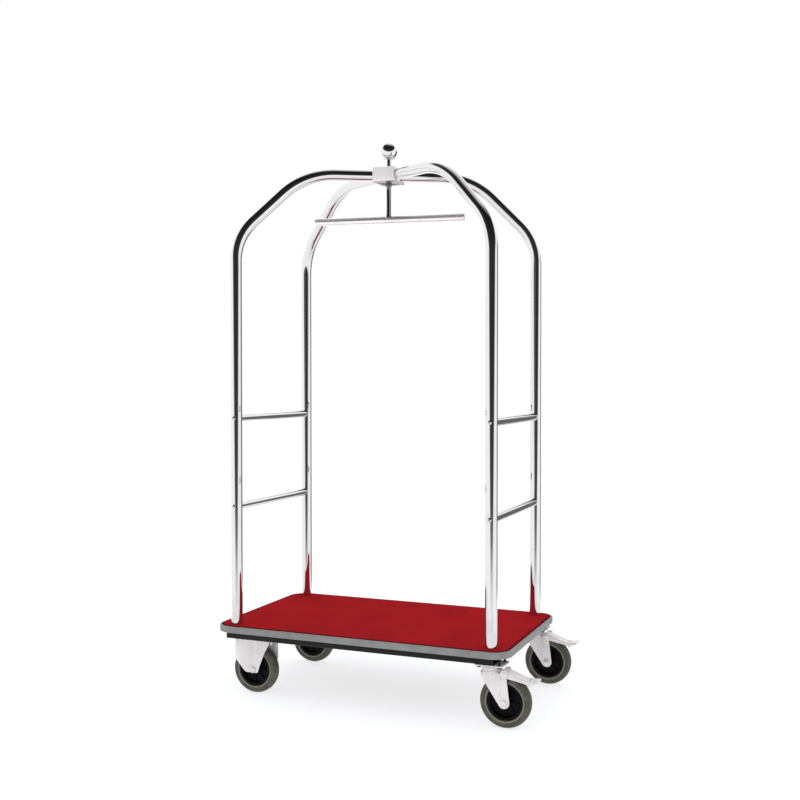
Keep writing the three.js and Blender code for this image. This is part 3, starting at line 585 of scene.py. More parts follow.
def new_object(name, shape):
    mesh = bpy.data.meshes.new(name)
    mesh.from_pydata(shape.points, [], shape.faces)
    skin = bmesh.new()
    skin.from_mesh(mesh)
    bmesh.ops.remove_doubles(skin, verts=skin.verts, dist=MM / 1000)
    bmesh.ops.recalc_face_normals(skin, faces=skin.faces)
    skin.to_mesh(mesh)
    skin.free()
    mesh.shade_smooth()
    mesh.set_sharp_from_angle(angle=CREASE)
    obj = bpy.data.objects.new(name, mesh)
    bpy.context.scene.collection.objects.link(obj)
    return obj


def split_faces(obj):
    """Splits a mesh's many-sided faces, which a cut could fold over where they turn inwards."""
    skin = bmesh.new()
    skin.from_mesh(obj.data)
    bmesh.ops.triangulate(skin, faces=[face for face in skin.faces if len(face.verts) > 4])
    skin.to_mesh(obj.data)
    skin.free()


def carve(obj, *cutters):
    """Cuts shapes out of an object's mesh."""
    for shape in cutters:
        tool = new_object("cutter", shape)
        cut = obj.modifiers.new("cut", "BOOLEAN")
        cut.operation = "DIFFERENCE"
        cut.solver = "EXACT"
        cut.object = tool
        graph = bpy.context.evaluated_depsgraph_get()
        mesh = bpy.data.meshes.new_from_object(obj.evaluated_get(graph))
        obj.modifiers.clear()
        obj.data = mesh
        bpy.data.objects.remove(tool)


def join(obj, shape):
    """Adds a shape to an object's mesh as it is."""
    extra = new_object("extra", shape)
    skin = bmesh.new()
    skin.from_mesh(obj.data)
    skin.from_mesh(extra.data)
    skin.to_mesh(obj.data)
    skin.free()
    bpy.data.objects.remove(extra)


def paint(obj, attribute, value):
    """Gives each point of a piece a value, worked out from its place, for its material to read."""
    layer = obj.data.attributes.new(attribute, "FLOAT", "POINT")
    for i, vertex in enumerate(obj.data.vertices):
        layer.data[i].value = value(vertex.co)


def dress(obj, slot, body, *nodes, finish=None):
    """Makes an object a piece that rides on a body, with a slot's material, in the place of CAD nodes."""
    obj.data.materials.clear()
    obj.data.materials.append(MATERIALS[finish or slot])
    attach(obj, body)
    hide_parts(*nodes)


def piece(name, shape, slot, body, *nodes, holes=(), finish=None):
    obj = new_object(name, shape)
    carve(obj, *holes)
    dress(obj, slot, body, *nodes, finish=finish)
    return obj


def post_path(corner):
    """A post's axis, up from the deck and in to the crown block."""
    foot = centre(f"post_anchor_{corner}")
    block, half_block = halves(*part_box("crown_block"))
    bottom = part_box(f"post_{corner}")[0].z
    inward = Vector((block.x - foot.x, block.y - foot.y, 0))
    reach = inward.length * (1 - (half_block.x - POST_SINK) / abs(inward.x))
    inward.normalize()
    route = [(0, bottom)]
    for i in range(BEND_STEPS + 1):
        angle = math.pi / 2 + (CROWN_SLOPE - math.pi / 2) * i / BEND_STEPS
        along = POST_BEND_RADIUS * (1 - math.sin(angle))
        route.append((along, POST_BEND_START + POST_BEND_RADIUS * math.cos(angle)))
    rise = block.z - CROWN_BEND_RADIUS * (1 - math.cos(CROWN_SLOPE)) - route[-1][1]
    crown_start = route[-1][0] + rise / math.tan(CROWN_SLOPE)
    crown_centre = crown_start + CROWN_BEND_RADIUS * math.sin(CROWN_SLOPE)
    for i in range(BEND_STEPS + 1):
        angle = CROWN_SLOPE * (1 - i / BEND_STEPS)
        along = crown_centre - CROWN_BEND_RADIUS * math.sin(angle)
        route.append((along, block.z - CROWN_BEND_RADIUS * (1 - math.cos(angle))))
    route.append((reach, block.z))
    start = Vector((foot.x, foot.y, 0))
    return [start + inward * along + Vector((0, 0, height)) for along, height in route], inward


def posts():
    for corner in CORNERS:
        path, inward = post_path(corner)
        normal = Vector((-inward.y, inward.x, 0))
        tube = swept(path, circle(POST_RADIUS), normal)
        piece(f"bent_post_{corner}", tube, "chrome", "cart", f"post_{corner}")


def saddle_ring(post, z, side):
    """The end of a side rail at height z, shaped to the round of the post."""
    ring = []
    for dx, dz in circle(RAIL_RADIUS):
        depth = math.sqrt(POST_RADIUS**2 - dx**2)
        ring.append((post.x + dx, side * (abs(post.y) - depth + RAIL_SINK), z + dz))
    return ring


def side_rails():
    for side in ("left", "right"):
        post = centre(f"post_anchor_front_{side}")
        for level in LEVELS:
            node = f"side_rail_{side}_{level}"
            rings = [saddle_ring(post, centre(node).z, end) for end in (-1, 1)]
            piece(f"round_rail_{side}_{level}", loft(rings), "chrome", "cart", node)


def dome_screw():
    """A dome-headed screw with a hexagon socket, along Z from the middle of the post."""
    seat = POST_RADIUS - 1.5 * MM
    top = POST_RADIUS + SCREW_HEAD_HEIGHT
    dome = []
    for i in range(8, 3, -1):
        angle = math.pi / 2 * i / 8
        drop = SCREW_HEAD_HEIGHT * SCREW_DOME * (1 - math.cos(angle))
        dome.append((SCREW_HEAD_RADIUS * math.sin(angle), top - drop))
    rim = dome[-1][1]
    bottom = top - SCREW_SOCKET_DEPTH
    profile = [(0, seat), (SCREW_HEAD_RADIUS, seat), *dome]
    profile += [(SCREW_SOCKET * 1.12, rim + 0.35 * MM, 6), (SCREW_SOCKET, rim, 6)]
    profile += [(SCREW_SOCKET, bottom, 6), (0, bottom - 0.5 * MM)]
    return turned(profile, 36)


def rail_screws():
    for corner, (_, side) in CORNERS.items():
        post = centre(f"post_anchor_{corner}")
        outward = MIRROR_Y if side < 0 else AS_IT_IS
        for level in LEVELS:
            node = f"rail_screw_{corner}_{level}"
            head = dome_screw().moved(SWAP_YZ).moved(outward).at(post.x, post.y, centre(node).z)
            piece(f"dome_screw_{corner}_{level}", head, "chrome", "cart", node)


def crown():
    low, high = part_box("crown_block")
    middle, half = halves(low, high)
    outline = rounded_rectangle(half.x, half.y, BLOCK_CORNER)
    block = plate(outline, -half.z, half.z, BLOCK_EDGE).at(*middle)
    radius, reach = ROD_RADIUS + ROD_PLAY, half.z + MM
    bore = turned([(0, -reach), (radius, -reach), (radius, reach), (0, reach)]).at(*middle)
    obj = piece(
        "bevelled_crown_block", block, "chrome", "cart", "crown_block", holes=[bore], finish="pale_plate"
    )
    # the block's underside gets painted shade
    paint(obj, "under", lambda point: float(point.z < low.z + BLOCK_SHADED_UNDERSIDE))


def finial():
    """A ball on a thin neck, which flares out to a flange on the block."""
    low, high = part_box("finial_ball")
    ball_z = high.z - BALL_RADIUS
    neck_angle = math.asin(NECK_RADIUS / BALL_RADIUS)
    flange = in_mm((0, 0), (11.5, 0), (12, 0.5), (12, 2.2), (11.3, 2.8), (9.5, 3.2), (8.5, 4.4))
    profile = [(radius, low.z + height) for radius, height in flange]
    for i in range(BALL_STEPS + 1):
        angle = neck_angle + (math.pi - neck_angle) * i / BALL_STEPS
        profile.append((BALL_RADIUS * math.sin(angle), ball_z - BALL_RADIUS * math.cos(angle)))
    shape = turned(profile, ROUND_SIDES).at(*centre("finial_ball").xy)
    piece("turned_finial", shape, "chrome", "hanger", "finial_ball")


def hanger():
    """The rod, the garment bar that crosses it in a welded collar, and the bar's two caps."""
    rod, top = centre("hanger_rod"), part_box("hanger_rod")[1].z
    bar_middle, bar_half = halves(*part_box("hanger_bar"))
    radius, height = bar_half.z, bar_middle.z
    weld_top = height + (radius + WELD_HEIGHT)
    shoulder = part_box("crown_block")[1].z - MM
    profile = [(0, height + radius / 2), (ROD_RADIUS + WELD_WIDTH, height + radius / 2)]
    profile += [(ROD_RADIUS + 2.0 * MM, weld_top - 2.6 * MM), (ROD_RADIUS, weld_top)]
    profile += [(ROD_RADIUS, shoulder), (STUD_RADIUS, shoulder), (STUD_RADIUS, top), (0, top)]
    shape = turned(profile, ROUND_SIDES).at(rod.x, rod.y)
    piece("turned_hanger_rod", shape, "chrome", "hanger", "hanger_rod")

    along = (centre("hanger_cap_right") - centre("hanger_cap_left")).normalized()
    turn = Matrix.Rotation(math.atan2(along.y, along.x), 4, "Z")
    half = (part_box("hanger_cap_right")[1].x - rod.x) / along.x - CAP_INSET
    end, neck = half - CAP_LENGTH, radius - CAP_GROOVE
    outline = [(0, -end), (neck, -end), (radius, CAP_GROOVE - end)]
    outline += [(radius, end - CAP_GROOVE), (neck, end), (0, end)]
    bar = turned(outline, ROUND_SIDES).moved(SWAP_XZ).moved(turn).at(rod.x, rod.y, height)
    piece("round_hanger_bar", bar, "chrome", "hanger", "hanger_bar", finish="satin_chrome")
    face = [(0, end), (neck, end), (radius, end + CAP_GROOVE), (radius, half - CAP_CHAMFER)]
    face += [(radius - CAP_CHAMFER, half), (radius - 3.2 * MM, half), (radius - 3.6 * MM, half - CAP_DISH)]
    face.append((0, half - CAP_DISH))
    for name, mirror in (("left", MIRROR_X), ("right", AS_IT_IS)):
        cap = turned(face, ROUND_SIDES).moved(SWAP_XZ).moved(mirror).moved(turn)
        cap = cap.at(rod.x, rod.y, height)
        piece(f"hanger_end_{name}", cap, "chrome", "hanger", f"hanger_cap_{name}", finish="satin_chrome")


# ---------------------------------------------------------------- deck


def edge_distance(x, y, half):
    """How far inside the carpet's outline a point lies, measured from the carpet's middle."""
    dx = abs(x) - (half.x - CARPET_CORNER)
    dy = abs(y) - (half.y - CARPET_CORNER)
    if dx > 0 and dy > 0:
        return CARPET_CORNER - math.hypot(dx, dy)
    return CARPET_CORNER - max(dx, dy)


def onto_corner(x, y, half):
    """The nearest point on the carpet's rounded corner to a point outside it."""
    cx, cy = math.copysign(half.x - CARPET_CORNER, x), math.copysign(half.y - CARPET_CORNER, y)
    length = math.hypot(x - cx, y - cy)
    return cx + (x - cx) * CARPET_CORNER / length, cy + (y - cy) * CARPET_CORNER / length


def open_edges(faces):
    """The edges of a sheet of faces that belong to one face only, as directed pairs."""
    edges = {pair for face in faces for pair in zip(face, face[1:] + face[:1])}
    return sorted((a, b) for a, b in edges if (b, a) not in edges)


def carpet_grid(half, feet):
    """Grid points and faces of the carpet about its middle, with a round hole at each post's foot."""
    columns = round(2 * half.x / CARPET_CELL)
    rows = round(2 * half.y / CARPET_CELL)
    points, keep = [], []
    for j in range(rows + 1):
        for i in range(columns + 1):
            x = -half.x + 2 * half.x * i / columns
            y = -half.y + 2 * half.y * j / rows
            inside = edge_distance(x, y, half)
            if inside < 0:
                x, y = onto_corner(x, y, half)
            from_foot = min(math.hypot(x - foot.x, y - foot.y) for foot in feet)
            points.append((x, y))
            keep.append(inside > -0.75 * CARPET_CELL and from_foot > POST_HOLE - 0.3 * CARPET_CELL)
    faces = []
    for j in range(rows):
        for i in range(columns):
            a = j * (columns + 1) + i
            face = (a, a + 1, a + columns + 2, a + columns + 1)
            if all(keep[k] for k in face):
                faces.append(face)
    for k in {k for edge in open_edges(faces) for k in edge}:
        for foot in feet:
            spoke = Vector((points[k][0] - foot.x, points[k][1] - foot.y))
            if spoke.length < POST_HOLE + 2 * CARPET_CELL:
                spoke *= POST_HOLE / spoke.length
                points[k] = (spoke.x + foot.x, spoke.y + foot.y)
    return points, faces


def carpet_sheet():
    """The carpet as one closed sheet, with its edge rolled down and its pile trodden in places."""
    low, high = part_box("deck_carpet")
    middle, half = halves(low, high)
    feet = [centre(f"post_anchor_{corner}") - middle for corner in CORNERS]
    points, faces = carpet_grid(half, feet)
    used = sorted({i for face in faces for i in face})
    order = {old: new for new, old in enumerate(used)}
    top, bottom = [], []
    for i in used:
        x, y = points[i]
        roll = max(0.0, 1 - edge_distance(x, y, half) / CARPET_ROLL) ** 2 * CARPET_DROP
        wave = noise.noise(Vector((x * WAVES, y * WAVES, 3.1))) * 0.5
        tuft = noise.noise(Vector((x * TUFTS, y * TUFTS, 0.7)))
        lift = PILE_HEIGHT * min(0.0, wave + tuft - 0.5)
        top.append((middle.x + x, middle.y + y, high.z - roll + lift))
        bottom.append((middle.x + x, middle.y + y, low.z))
    shell = [tuple(order[i] for i in face) for face in faces]
    count = len(top)
    sides = [(b, a, a + count, b + count) for a, b in open_edges(shell)]
    under = [tuple(i + count for i in reversed(face)) for face in shell]
    shape = Shape(top + bottom, shell + sides + under)
    sheet = piece("carpet_sheet", shape, "carpet", "cart", "deck_carpet")

    def rim(point):
        inside = edge_distance(point.x - middle.x, point.y - middle.y, half)
        return max(0.0, 1 - inside / CARPET_SHADED_RIM)

    # the rim gets painted shade along the bumper, and its pile is crushed
    paint(sheet, "rim", rim)


def bumper():
    """A strip swept once round the deck's edge, its ends meeting in the middle of the far side."""
    low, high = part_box("edge_bumper")
    middle, half = halves(low, high)
    inner_x, inner_y = half.x - BUMPER_THICKNESS, half.y - BUMPER_THICKNESS
    outline = rounded_rectangle(inner_x, inner_y, BUMPER_CORNER, BUMPER_CORNER_STEPS)
    second = BUMPER_CORNER_STEPS + 1  # where the outline's second corner begins, past the far side
    route = [(-BUMPER_GAP, inner_y), *outline[second:], *outline[:second], (BUMPER_GAP, inner_y)]
    path = [Vector((middle.x + x, middle.y + y, 0)) for x, y in route]
    outside, shoulder, chamfer = BUMPER_THICKNESS, 2.6 * MM, 1.2 * MM
    section = [
        (0, low.z),
        (outside - chamfer, low.z),
        (outside - BUMPER_BULGE, low.z + shoulder),
        (outside, low.z + (high.z - low.z) / 2),
        (outside - BUMPER_BULGE, high.z - shoulder),
        (outside - chamfer, high.z),
        (0.8 * MM, high.z),
        (0, high.z - 0.8 * MM),
    ]
    strip = swept(path, eased(section, 1.6 * MM), Vector((0, 0, 1)))
    piece("bumper_strip", strip, "bumper_rubber", "cart", "edge_bumper")


def frame_tube(low, high):
    """A square-section tube along X with rounded corners, open at its ends."""
    middle, half = halves(low, high)
    outer = rounded_rectangle(half.y, half.z, FRAME_CORNER)
    hollow = rounded_rectangle(half.y - FRAME_WALL, half.z - FRAME_WALL, FRAME_CORNER - FRAME_WALL)
    ends = ((outer, low.x), (outer, high.x), (hollow, high.x), (hollow, low.x))
    rings = [[(x, middle.y + y, middle.z + z) for y, z in outline] for outline, x in ends]
    return loft(rings, looped=True)


def under_frame():
    for name in ("frame_rail_front", "frame_rail_back"):
        piece(f"painted_{name}", frame_tube(*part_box(name)), "black_paint", "cart", name)
    for name in ("frame_crossbar_left", "frame_crossbar_middle", "frame_crossbar_right"):
        low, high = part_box(name)
        shape = frame_tube(SWAP_XY @ low, SWAP_XY @ high).moved(SWAP_XY)
        piece(f"painted_{name}", shape, "black_paint", "cart", name)


# ---------------------------------------------------------------- wheels and casters


def wheel_part(half):
    """A part of a wheel about Z, the same on both sides, from half of its profile in millimetres."""
    profile = in_mm(*half)
    return turned(profile + [(r, -h) for r, h in reversed(profile)], WHEEL_SIDES, looped=True)


def tyre_shape():
    """A solid tyre: bead ring, hollowed sidewall, moulded line, shoulder and flat tread."""
    bead = [(56.0, 15.5), (57.2, 17.2), (59.0, 18.0), (61.4, 18.0), (62.6, 17.2), (63.4, 16.4)]
    sidewall = [(66.0, 16.2), (69.5, 16.6), (71.6, 17.0), (72.2, 16.5), (72.9, 16.5), (73.5, 16.8)]
    shoulder = [(75.2, 15.8), (77.2, 13.6), (78.7, 10.6), (79.6, 7.2), (79.9, 4.6)]
    tread = [(79.3, 4.2), (79.3, 3.6), (80.0, 3.1)]
    return wheel_part(bead + sidewall + shoulder + tread)


def hub_shape():
    """A moulded hub: boss, dished disc and rim, with ribs on both faces."""
    boss = [(6.3, 22.2), (14.0, 22.2), (15.0, 21.2), (16.5, 9.5), (19.5, 6.0)]
    disc_and_rim = [(40.0, 6.0), (43.5, 7.6), (46.5, 13.8), (48.0, 14.8), (54.6, 14.8), (55.7, 13.8)]
    shape = wheel_part(boss + disc_and_rim)
    rib = in_mm((14, 0), (47, 0), (47, 11.5), (30, 8.4), (14, 12))
    for i in range(HUB_RIBS):
        turn = Matrix.Rotation(2 * math.pi * i / HUB_RIBS, 4, "Z")
        web = standing(rib, -HUB_RIB_HALF, HUB_RIB_HALF, 0.5 * MM).moved(turn)
        shape = shape + web + web.moved(MIRROR_Z)
    return shape


def on_highlight_ring(hub):
    """A test for the points of a tyre's raised ring, which gets a painted highlight."""
    low, high = HIGHLIGHT_RING_RADII
    return lambda point: float(low < math.hypot(point.x - hub.x, point.z - hub.z) < high)


def wheels():
    for corner in CORNERS:
        hub = centre(f"{corner}_hub")
        body = f"{corner}_wheel"
        tyre = tyre_shape().moved(SWAP_YZ).at(*hub)
        obj = piece(f"moulded_tyre_{corner}", tyre, "tyre_rubber", body, f"{corner}_tyre")
        # the raised ring gets a painted highlight
        paint(obj, "ring", on_highlight_ring(hub))
        disc = hub_shape().moved(SWAP_YZ).at(*hub)
        piece(f"moulded_hub_{corner}", disc, "black_plastic", body, f"{corner}_hub")


def hex_head(base, height, radius=HEX_RADIUS):
    """A bolt's head with its washer face and turned chamfer, as a profile about Z."""
    top = base + height
    washer = [(radius * 0.9, base), (radius * 0.9, base + 0.5 * MM), (radius * 0.97, base + 0.9 * MM, 6)]
    flats = [(radius, base + 1.3 * MM, 6), (radius, top - 1.4 * MM, 6)]
    return washer + flats + [(radius * 0.94, top - 0.5 * MM, 6), (radius * 0.82, top)]


def axle_bolt_shape():
    """An axle bolt about Z: head at +Z with a dished top, thread beyond the far leg."""
    seat = LEG_OUTER + SEAT_GAP
    top = seat + AXLE_HEAD
    end = -LEG_OUTER - AXLE_TAIL
    root = AXLE_RADIUS - THREAD_DEPTH
    profile = [(0, end), (AXLE_RADIUS - 1.2 * MM, end)]
    for i in range(THREADS):
        z = end + (i + 0.6) * THREAD_PITCH
        profile += [(AXLE_RADIUS, z), (AXLE_RADIUS, z + 0.25 * MM), (root, z + 0.8 * MM)]
    profile += [(AXLE_RADIUS, -LEG_OUTER), (AXLE_RADIUS, seat), *hex_head(seat, AXLE_HEAD)]
    profile += [(AXLE_RADIUS * 1.05, top), (AXLE_RADIUS * 0.95, top - 0.4 * MM), (0, top - 0.4 * MM)]
    return turned(profile)


def nut_shape():
    """A locking nut about Z, its collar away from the leg, bored for the thread."""
    seat = LEG_OUTER + SEAT_GAP
    top = seat + NUT_HEIGHT
    bore = AXLE_RADIUS + 0.1 * MM
    profile = [(bore, seat), *hex_head(seat, NUT_HEX_HEIGHT)]
    profile += [(HEX_RADIUS * 0.76, top - 1.4 * MM), (HEX_RADIUS * 0.70, top - 0.3 * MM)]
    profile += [(HEX_RADIUS * 0.62, top), (bore, top - 0.4 * MM)]
    return turned(profile, looped=True)


def axles():
    for corner, (side_x, side_y) in CORNERS.items():
        hub = centre(f"{corner}_hub")
        body = "cart" if side_x < 0 else f"{corner}_swivel"
        flip = MIRROR_Y if side_y < 0 else AS_IT_IS
        bolt = axle_bolt_shape().moved(SWAP_YZ).moved(flip).at(*hub)
        piece(f"hex_axle_bolt_{corner}", bolt, "zinc", body, f"{corner}_axle_bolt")
        nut = nut_shape().moved(SWAP_YZ).moved(flip @ MIRROR_Y).at(*hub)
        piece(f"lock_nut_{corner}", nut, "zinc", body, f"{corner}_axle_nut")


def caster_plate(node):
    """A caster's mounting plate about its own middle, and the height of its underside."""
    low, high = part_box(node)
    half = halves(low, high)[1]
    bottom = high.z - PLATE_THICKNESS
    return plate(rounded_rectangle(half.x, half.y, PLATE_CORNER), bottom, high.z, PLATE_EDGE), bottom


def plate_bolts(name, x, y, reach, plate_bottom):
    """Four bolts from under a caster's plate up to the deck board, as one piece."""
    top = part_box("deck_board")[0].z - 0.2 * MM
    head = [(r, plate_bottom - z, *six) for r, z, *six in hex_head(0, PLATE_BOLT_HEAD, PLATE_BOLT_HEX)]
    profile = [(0, plate_bottom - PLATE_BOLT_HEAD), *reversed(head)]
    profile += [(PLATE_BOLT_RADIUS, plate_bottom), (PLATE_BOLT_RADIUS, top), (0, top)]
    shape = Shape([], [])
    for side_x in (-1, 1):
        for side_y in (-1, 1):
            shape = shape + turned(profile, 24).at(x + side_x * reach[0], y + side_y * reach[1])
    piece(f"plate_bolts_{name}", shape, "black_paint", "cart")


def fixed_leg():
    """The front leg of a fixed caster: one straight edge, one curved, and a pressed bead down it."""
    half, foot_z, top = 68, 70, 188.5  # in millimetres
    curve = bowed(Vector((16, foot_z)), Vector((36, 130)), Vector((56, 164)), 12)
    outline = in_mm((-29, foot_z), *curve, (half, top), (-half, top), (-half, 112))
    foot = eased([outline[-1], outline[0], outline[1]], 7 * MM, 5, closed=False)
    knee = eased([outline[-2], outline[-1], outline[0]], 9 * MM, 5, closed=False)
    toe = eased([outline[0], outline[1], outline[2]], 4 * MM, 4, closed=False)
    leg = standing(foot[1:-1] + toe[1:-1] + outline[3:-1] + knee[1:-1], -LEG_OUTER, -LEG_INNER)
    bead = arc(14.5 * MM, 176 * MM, 3 * MM, 0, math.pi, 8)
    bead += arc(13 * MM, 104 * MM, 3 * MM, math.pi, 2 * math.pi, 8)
    depth = 1.3 * MM
    return leg + standing(bead, -LEG_OUTER - depth, -LEG_OUTER + depth, 1.25 * MM, 4)


def end_skirt():
    """The end of a fixed caster's housing, folded down between the legs, with an arched lower edge."""
    half, top = LEG_OUTER - MM, 188.2 * MM
    spring, rise = 166 * MM, 9 * MM
    inner, outer = 64.5 * MM, 67.5 * MM
    steps = 10
    outline = []
    for i in range(steps + 1):
        y = -half + 2 * half * i / steps
        outline.append((y, spring + rise * math.cos(math.pi / 2 * y / half)))
    outline += [(half, top), (-half, top)]
    return plate(outline, inner, outer, 0.8 * MM).moved(reordered("zxy"))


def channel(half, low, high, bend, wall, start, end):
    """A pressed channel along X, open downwards."""
    outer = [(-half, low), (-half, high), (half, high), (half, low)]
    inner = [(half - wall, low), (half - wall, high - wall), (wall - half, high - wall), (wall - half, low)]
    section = eased(outer, bend, 5, closed=False) + eased(inner, bend - wall, 5, closed=False)
    return loft([[(x, y, z) for y, z in section] for x in (start, end)])


def fixed_casters():
    for corner in ("front_left", "back_left"):
        node = f"{corner}_caster_housing"
        x, y = centre(node).xy
        shape, bottom = caster_plate(node)
        wall = LEG_THICKNESS - 2 * INLAID
        ends = (-WEB_HALF_LENGTH, WEB_HALF_LENGTH)
        web = channel(LEG_OUTER - INLAID, bottom - WEB_DEPTH, bottom, WEB_BEND, wall, *ends)
        shape = shape + web + fixed_leg() + fixed_leg().moved(HALF_TURN)
        shape = shape + end_skirt() + end_skirt().moved(HALF_TURN)
        piece(f"pressed_housing_{corner}", shape.at(x, y), "zinc", "cart", node)
        plate_bolts(corner, x, y, FIXED_BOLTS, bottom)


def fork_shape():
    """A pressed swivel fork about its kingpin: crown, ball cup, two legs and ears for the pedal."""
    foot = arc(TRAIL, WHEEL_RADIUS, FOOT_RADIUS, 1.189 * math.pi, 2.06 * math.pi, 18)
    front_high, front_low = in_mm((-29, 162), (-29, 157))
    ear = in_mm((53, 150), (53, 178), (36, 178), (29, 162))
    rounded_ear = eased([foot[-1], *ear, front_high], 6 * MM, 5, closed=False)[1:-1]
    knee = eased([front_high, front_low, foot[0]], 5 * MM, 4, closed=False)[:-1]
    leg = standing(foot + rounded_ear + knee, -LEG_OUTER, -LEG_INNER)
    crown = channel(LEG_OUTER, 161.4 * MM, 170 * MM, 7 * MM, LEG_THICKNESS, -29 * MM, 29.5 * MM)
    inner_cup = [(24.0, 170.0), (24.0, 181.8), (25.0, 183.0), (28.4, 183.0)]
    outer_cup = [(29.8, 181.6), (30.0, 173.6), (31.0, 171.4), (32.6, 170.0), (32.6, 168.2)]
    floor_of_cup = [(31.0, 167.0), (12.0, 166.4), (6.4, 166.2), (6.4, 170.0)]
    cup = turned(in_mm(*inner_cup, *outer_cup, *floor_of_cup), ROUND_SIDES, looped=True)
    return leg + leg.moved(MIRROR_Y) + crown + cup


def pedal_object(name, x, y):
    """A pressed channel over the tyre with a brake shoe under it, riveted to the fork's ears."""
    outside = [(37, 155), (55, 152), (85, 147), (117, 140), (124, 139), (134, 142), (149, 149)]
    outside += [(146, 154), (128, 151.5), (108, 152.5), (72, 165.5), (48, 174), (37, 177)]
    inside = [(30, 120), (125, 120), (125, 149.4), (108, 150.2), (72, 163.2), (48, 171.7), (30, 176.6)]
    half = PEDAL_HALF_WIDTH
    shell = standing(eased(in_mm(*outside), 3.2 * MM), -half, half, 2.2 * MM, 4)
    hollow = standing(eased(in_mm(*inside), 1.5 * MM), PEDAL_WALL - half, half - PEDAL_WALL, 0.6 * MM)
    slot_outline = rounded_rectangle(2.4 * MM, 9 * MM, 2.3 * MM)
    slot = plate(slot_outline, 130 * MM, 160 * MM, 0.1 * MM).at(119 * MM)
    shoe_start, shoe_end = math.acos(52 * MM / SHOE_RADIUS), math.acos(76 * MM / SHOE_RADIUS)
    shoe_outline = arc(TRAIL, WHEEL_RADIUS, SHOE_RADIUS, shoe_start, shoe_end, 10)[::-1]
    shoe_outline += in_mm((96, 155.2), (108, 151), (120, 150.2))
    shoe = standing(shoe_outline, -SHOE_HALF_WIDTH, SHOE_HALF_WIDTH, 0.5 * MM)
    rivet = [(0, 20.5), (4, 20.5), (4, 26.2), (6.6, 26.2), (6.8, 27.0), (5.6, 28.3), (3.0, 29.0), (0, 29.2)]
    pin = turned(in_mm(*rivet), 32).moved(SWAP_YZ).at(PIVOT[0], 0, PIVOT[1])
    obj = new_object(name, shell.at(x, y))
    split_faces(obj)
    carve(obj, hollow.at(x, y), slot.at(x, y))
    join(obj, (shoe + pin + pin.moved(MIRROR_Y)).at(x, y))
    return obj


def swivel_casters():
    race = [(6.4, 171), (19.4, 171), (21, 172.6), (21, 184.6), (22, 186.6), (24.4, 188.4), (6.4, 188.4)]
    rivet = [(0, 161.4), (5, 161.6), (9, 162.6), (11, 164.4), (11, 165.7), (6, 165.8)]
    rivet += [(6, 191.2), (0, 191.2)]
    for corner in ("front_right", "back_right"):
        x, y = centre(f"{corner}_kingpin").xy
        node = f"{corner}_caster_plate"
        shape, bottom = caster_plate(node)
        shape = shape + turned(in_mm(*race), ROUND_SIDES, looped=True)
        piece(f"swivel_plate_{corner}", shape.at(x, y), "zinc", "cart", node)
        plate_bolts(corner, x, y, SWIVEL_BOLTS, bottom)
        kingpin = turned(in_mm(*rivet)).at(x, y)
        piece(f"kingpin_rivet_{corner}", kingpin, "zinc", "cart", f"{corner}_kingpin")
        fork = fork_shape().at(x, y)
        piece(f"pressed_fork_{corner}", fork, "zinc", f"{corner}_swivel", f"{corner}_fork")
        pedal = pedal_object(f"pressed_pedal_{corner}", x, y)
        dress(pedal, "zinc", f"{corner}_pedal", f"{corner}_brake_pedal")


def kept_nodes():
    """CAD nodes whose shape is already right get their finished material."""
    finishes = {"deck_board": "plywood"}
    finishes.update({f"post_anchor_{corner}": "zinc" for corner in CORNERS})
    for name, slot in finishes.items():
        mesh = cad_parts[name].data
        mesh.materials.clear()
        mesh.materials.append(MATERIALS[slot])


for make in (posts, side_rails, rail_screws, crown, finial, hanger, carpet_sheet, bumper):
    make()
for make in (under_frame, wheels, axles, fixed_casters, swivel_casters, kept_nodes):
    make()

# ---------------------------------------------------------------- studio and camera

FLOOR_HALF = 1.6  # the white room carries on beyond the floor's edge
PLATING = 0.66  # how much of the light chrome returns
ROOM_GAIN = 1.4  # keeps the shades below 1 inside the colour ramp
DARK_HEADING = 25  # degrees, the way in which the dark ceiling comes down lowest
DARK_EDGE = -9  # degrees up, its lower edge there
DARK_WIDTH = 0.03  # how far the cosine falls before the edge begins to rise
DARK_LIFT = 38  # degrees that the edge rises as the cosine falls by 1
WALL_SHADES = {-30: 238, -4: 236, -1.5: 190, 0.5: 110, 2.5: 64, 10: 46, 30: 34, 60: 24}  # by degrees
BOX_ELEVATION = math.radians(70)  # of the overhead box, leaning to the far side
CARD_HEADING = 163  # degrees, of the dark card behind the cart
CARD_SHADE = 0.17

CAMERA_PLACE = (1.3675, -3.3566, 1.0502)
CAMERA_HEADING = math.radians(22.21)
CAMERA_DIP = math.radians(1.13)  # below the level
CAMERA_LENS = 48.39  # on a sensor of 36


def wall_shade(room, past_edge):
    """The wall's light by how many degrees a direction lies above the dark ceiling's lower edge."""
    low, high = min(WALL_SHADES), max(WALL_SHADES)
    share = room.calc("DIVIDE", room.minus(past_edge, low), high - low)
    node = room.node("ShaderNodeValToRGB", Fac=share)
    ramp = node.color_ramp
    while len(ramp.elements) < len(WALL_SHADES):
        ramp.elements.new(0.5)
    for element, (stop, seen) in zip(ramp.elements, WALL_SHADES.items()):
        element.position = (stop - low) / (high - low)
        element.color = (*(c / PLATING / ROOM_GAIN for c in linear(seen, seen, seen)), 1)
    return room.times(node.outputs["Color"], ROOM_GAIN)


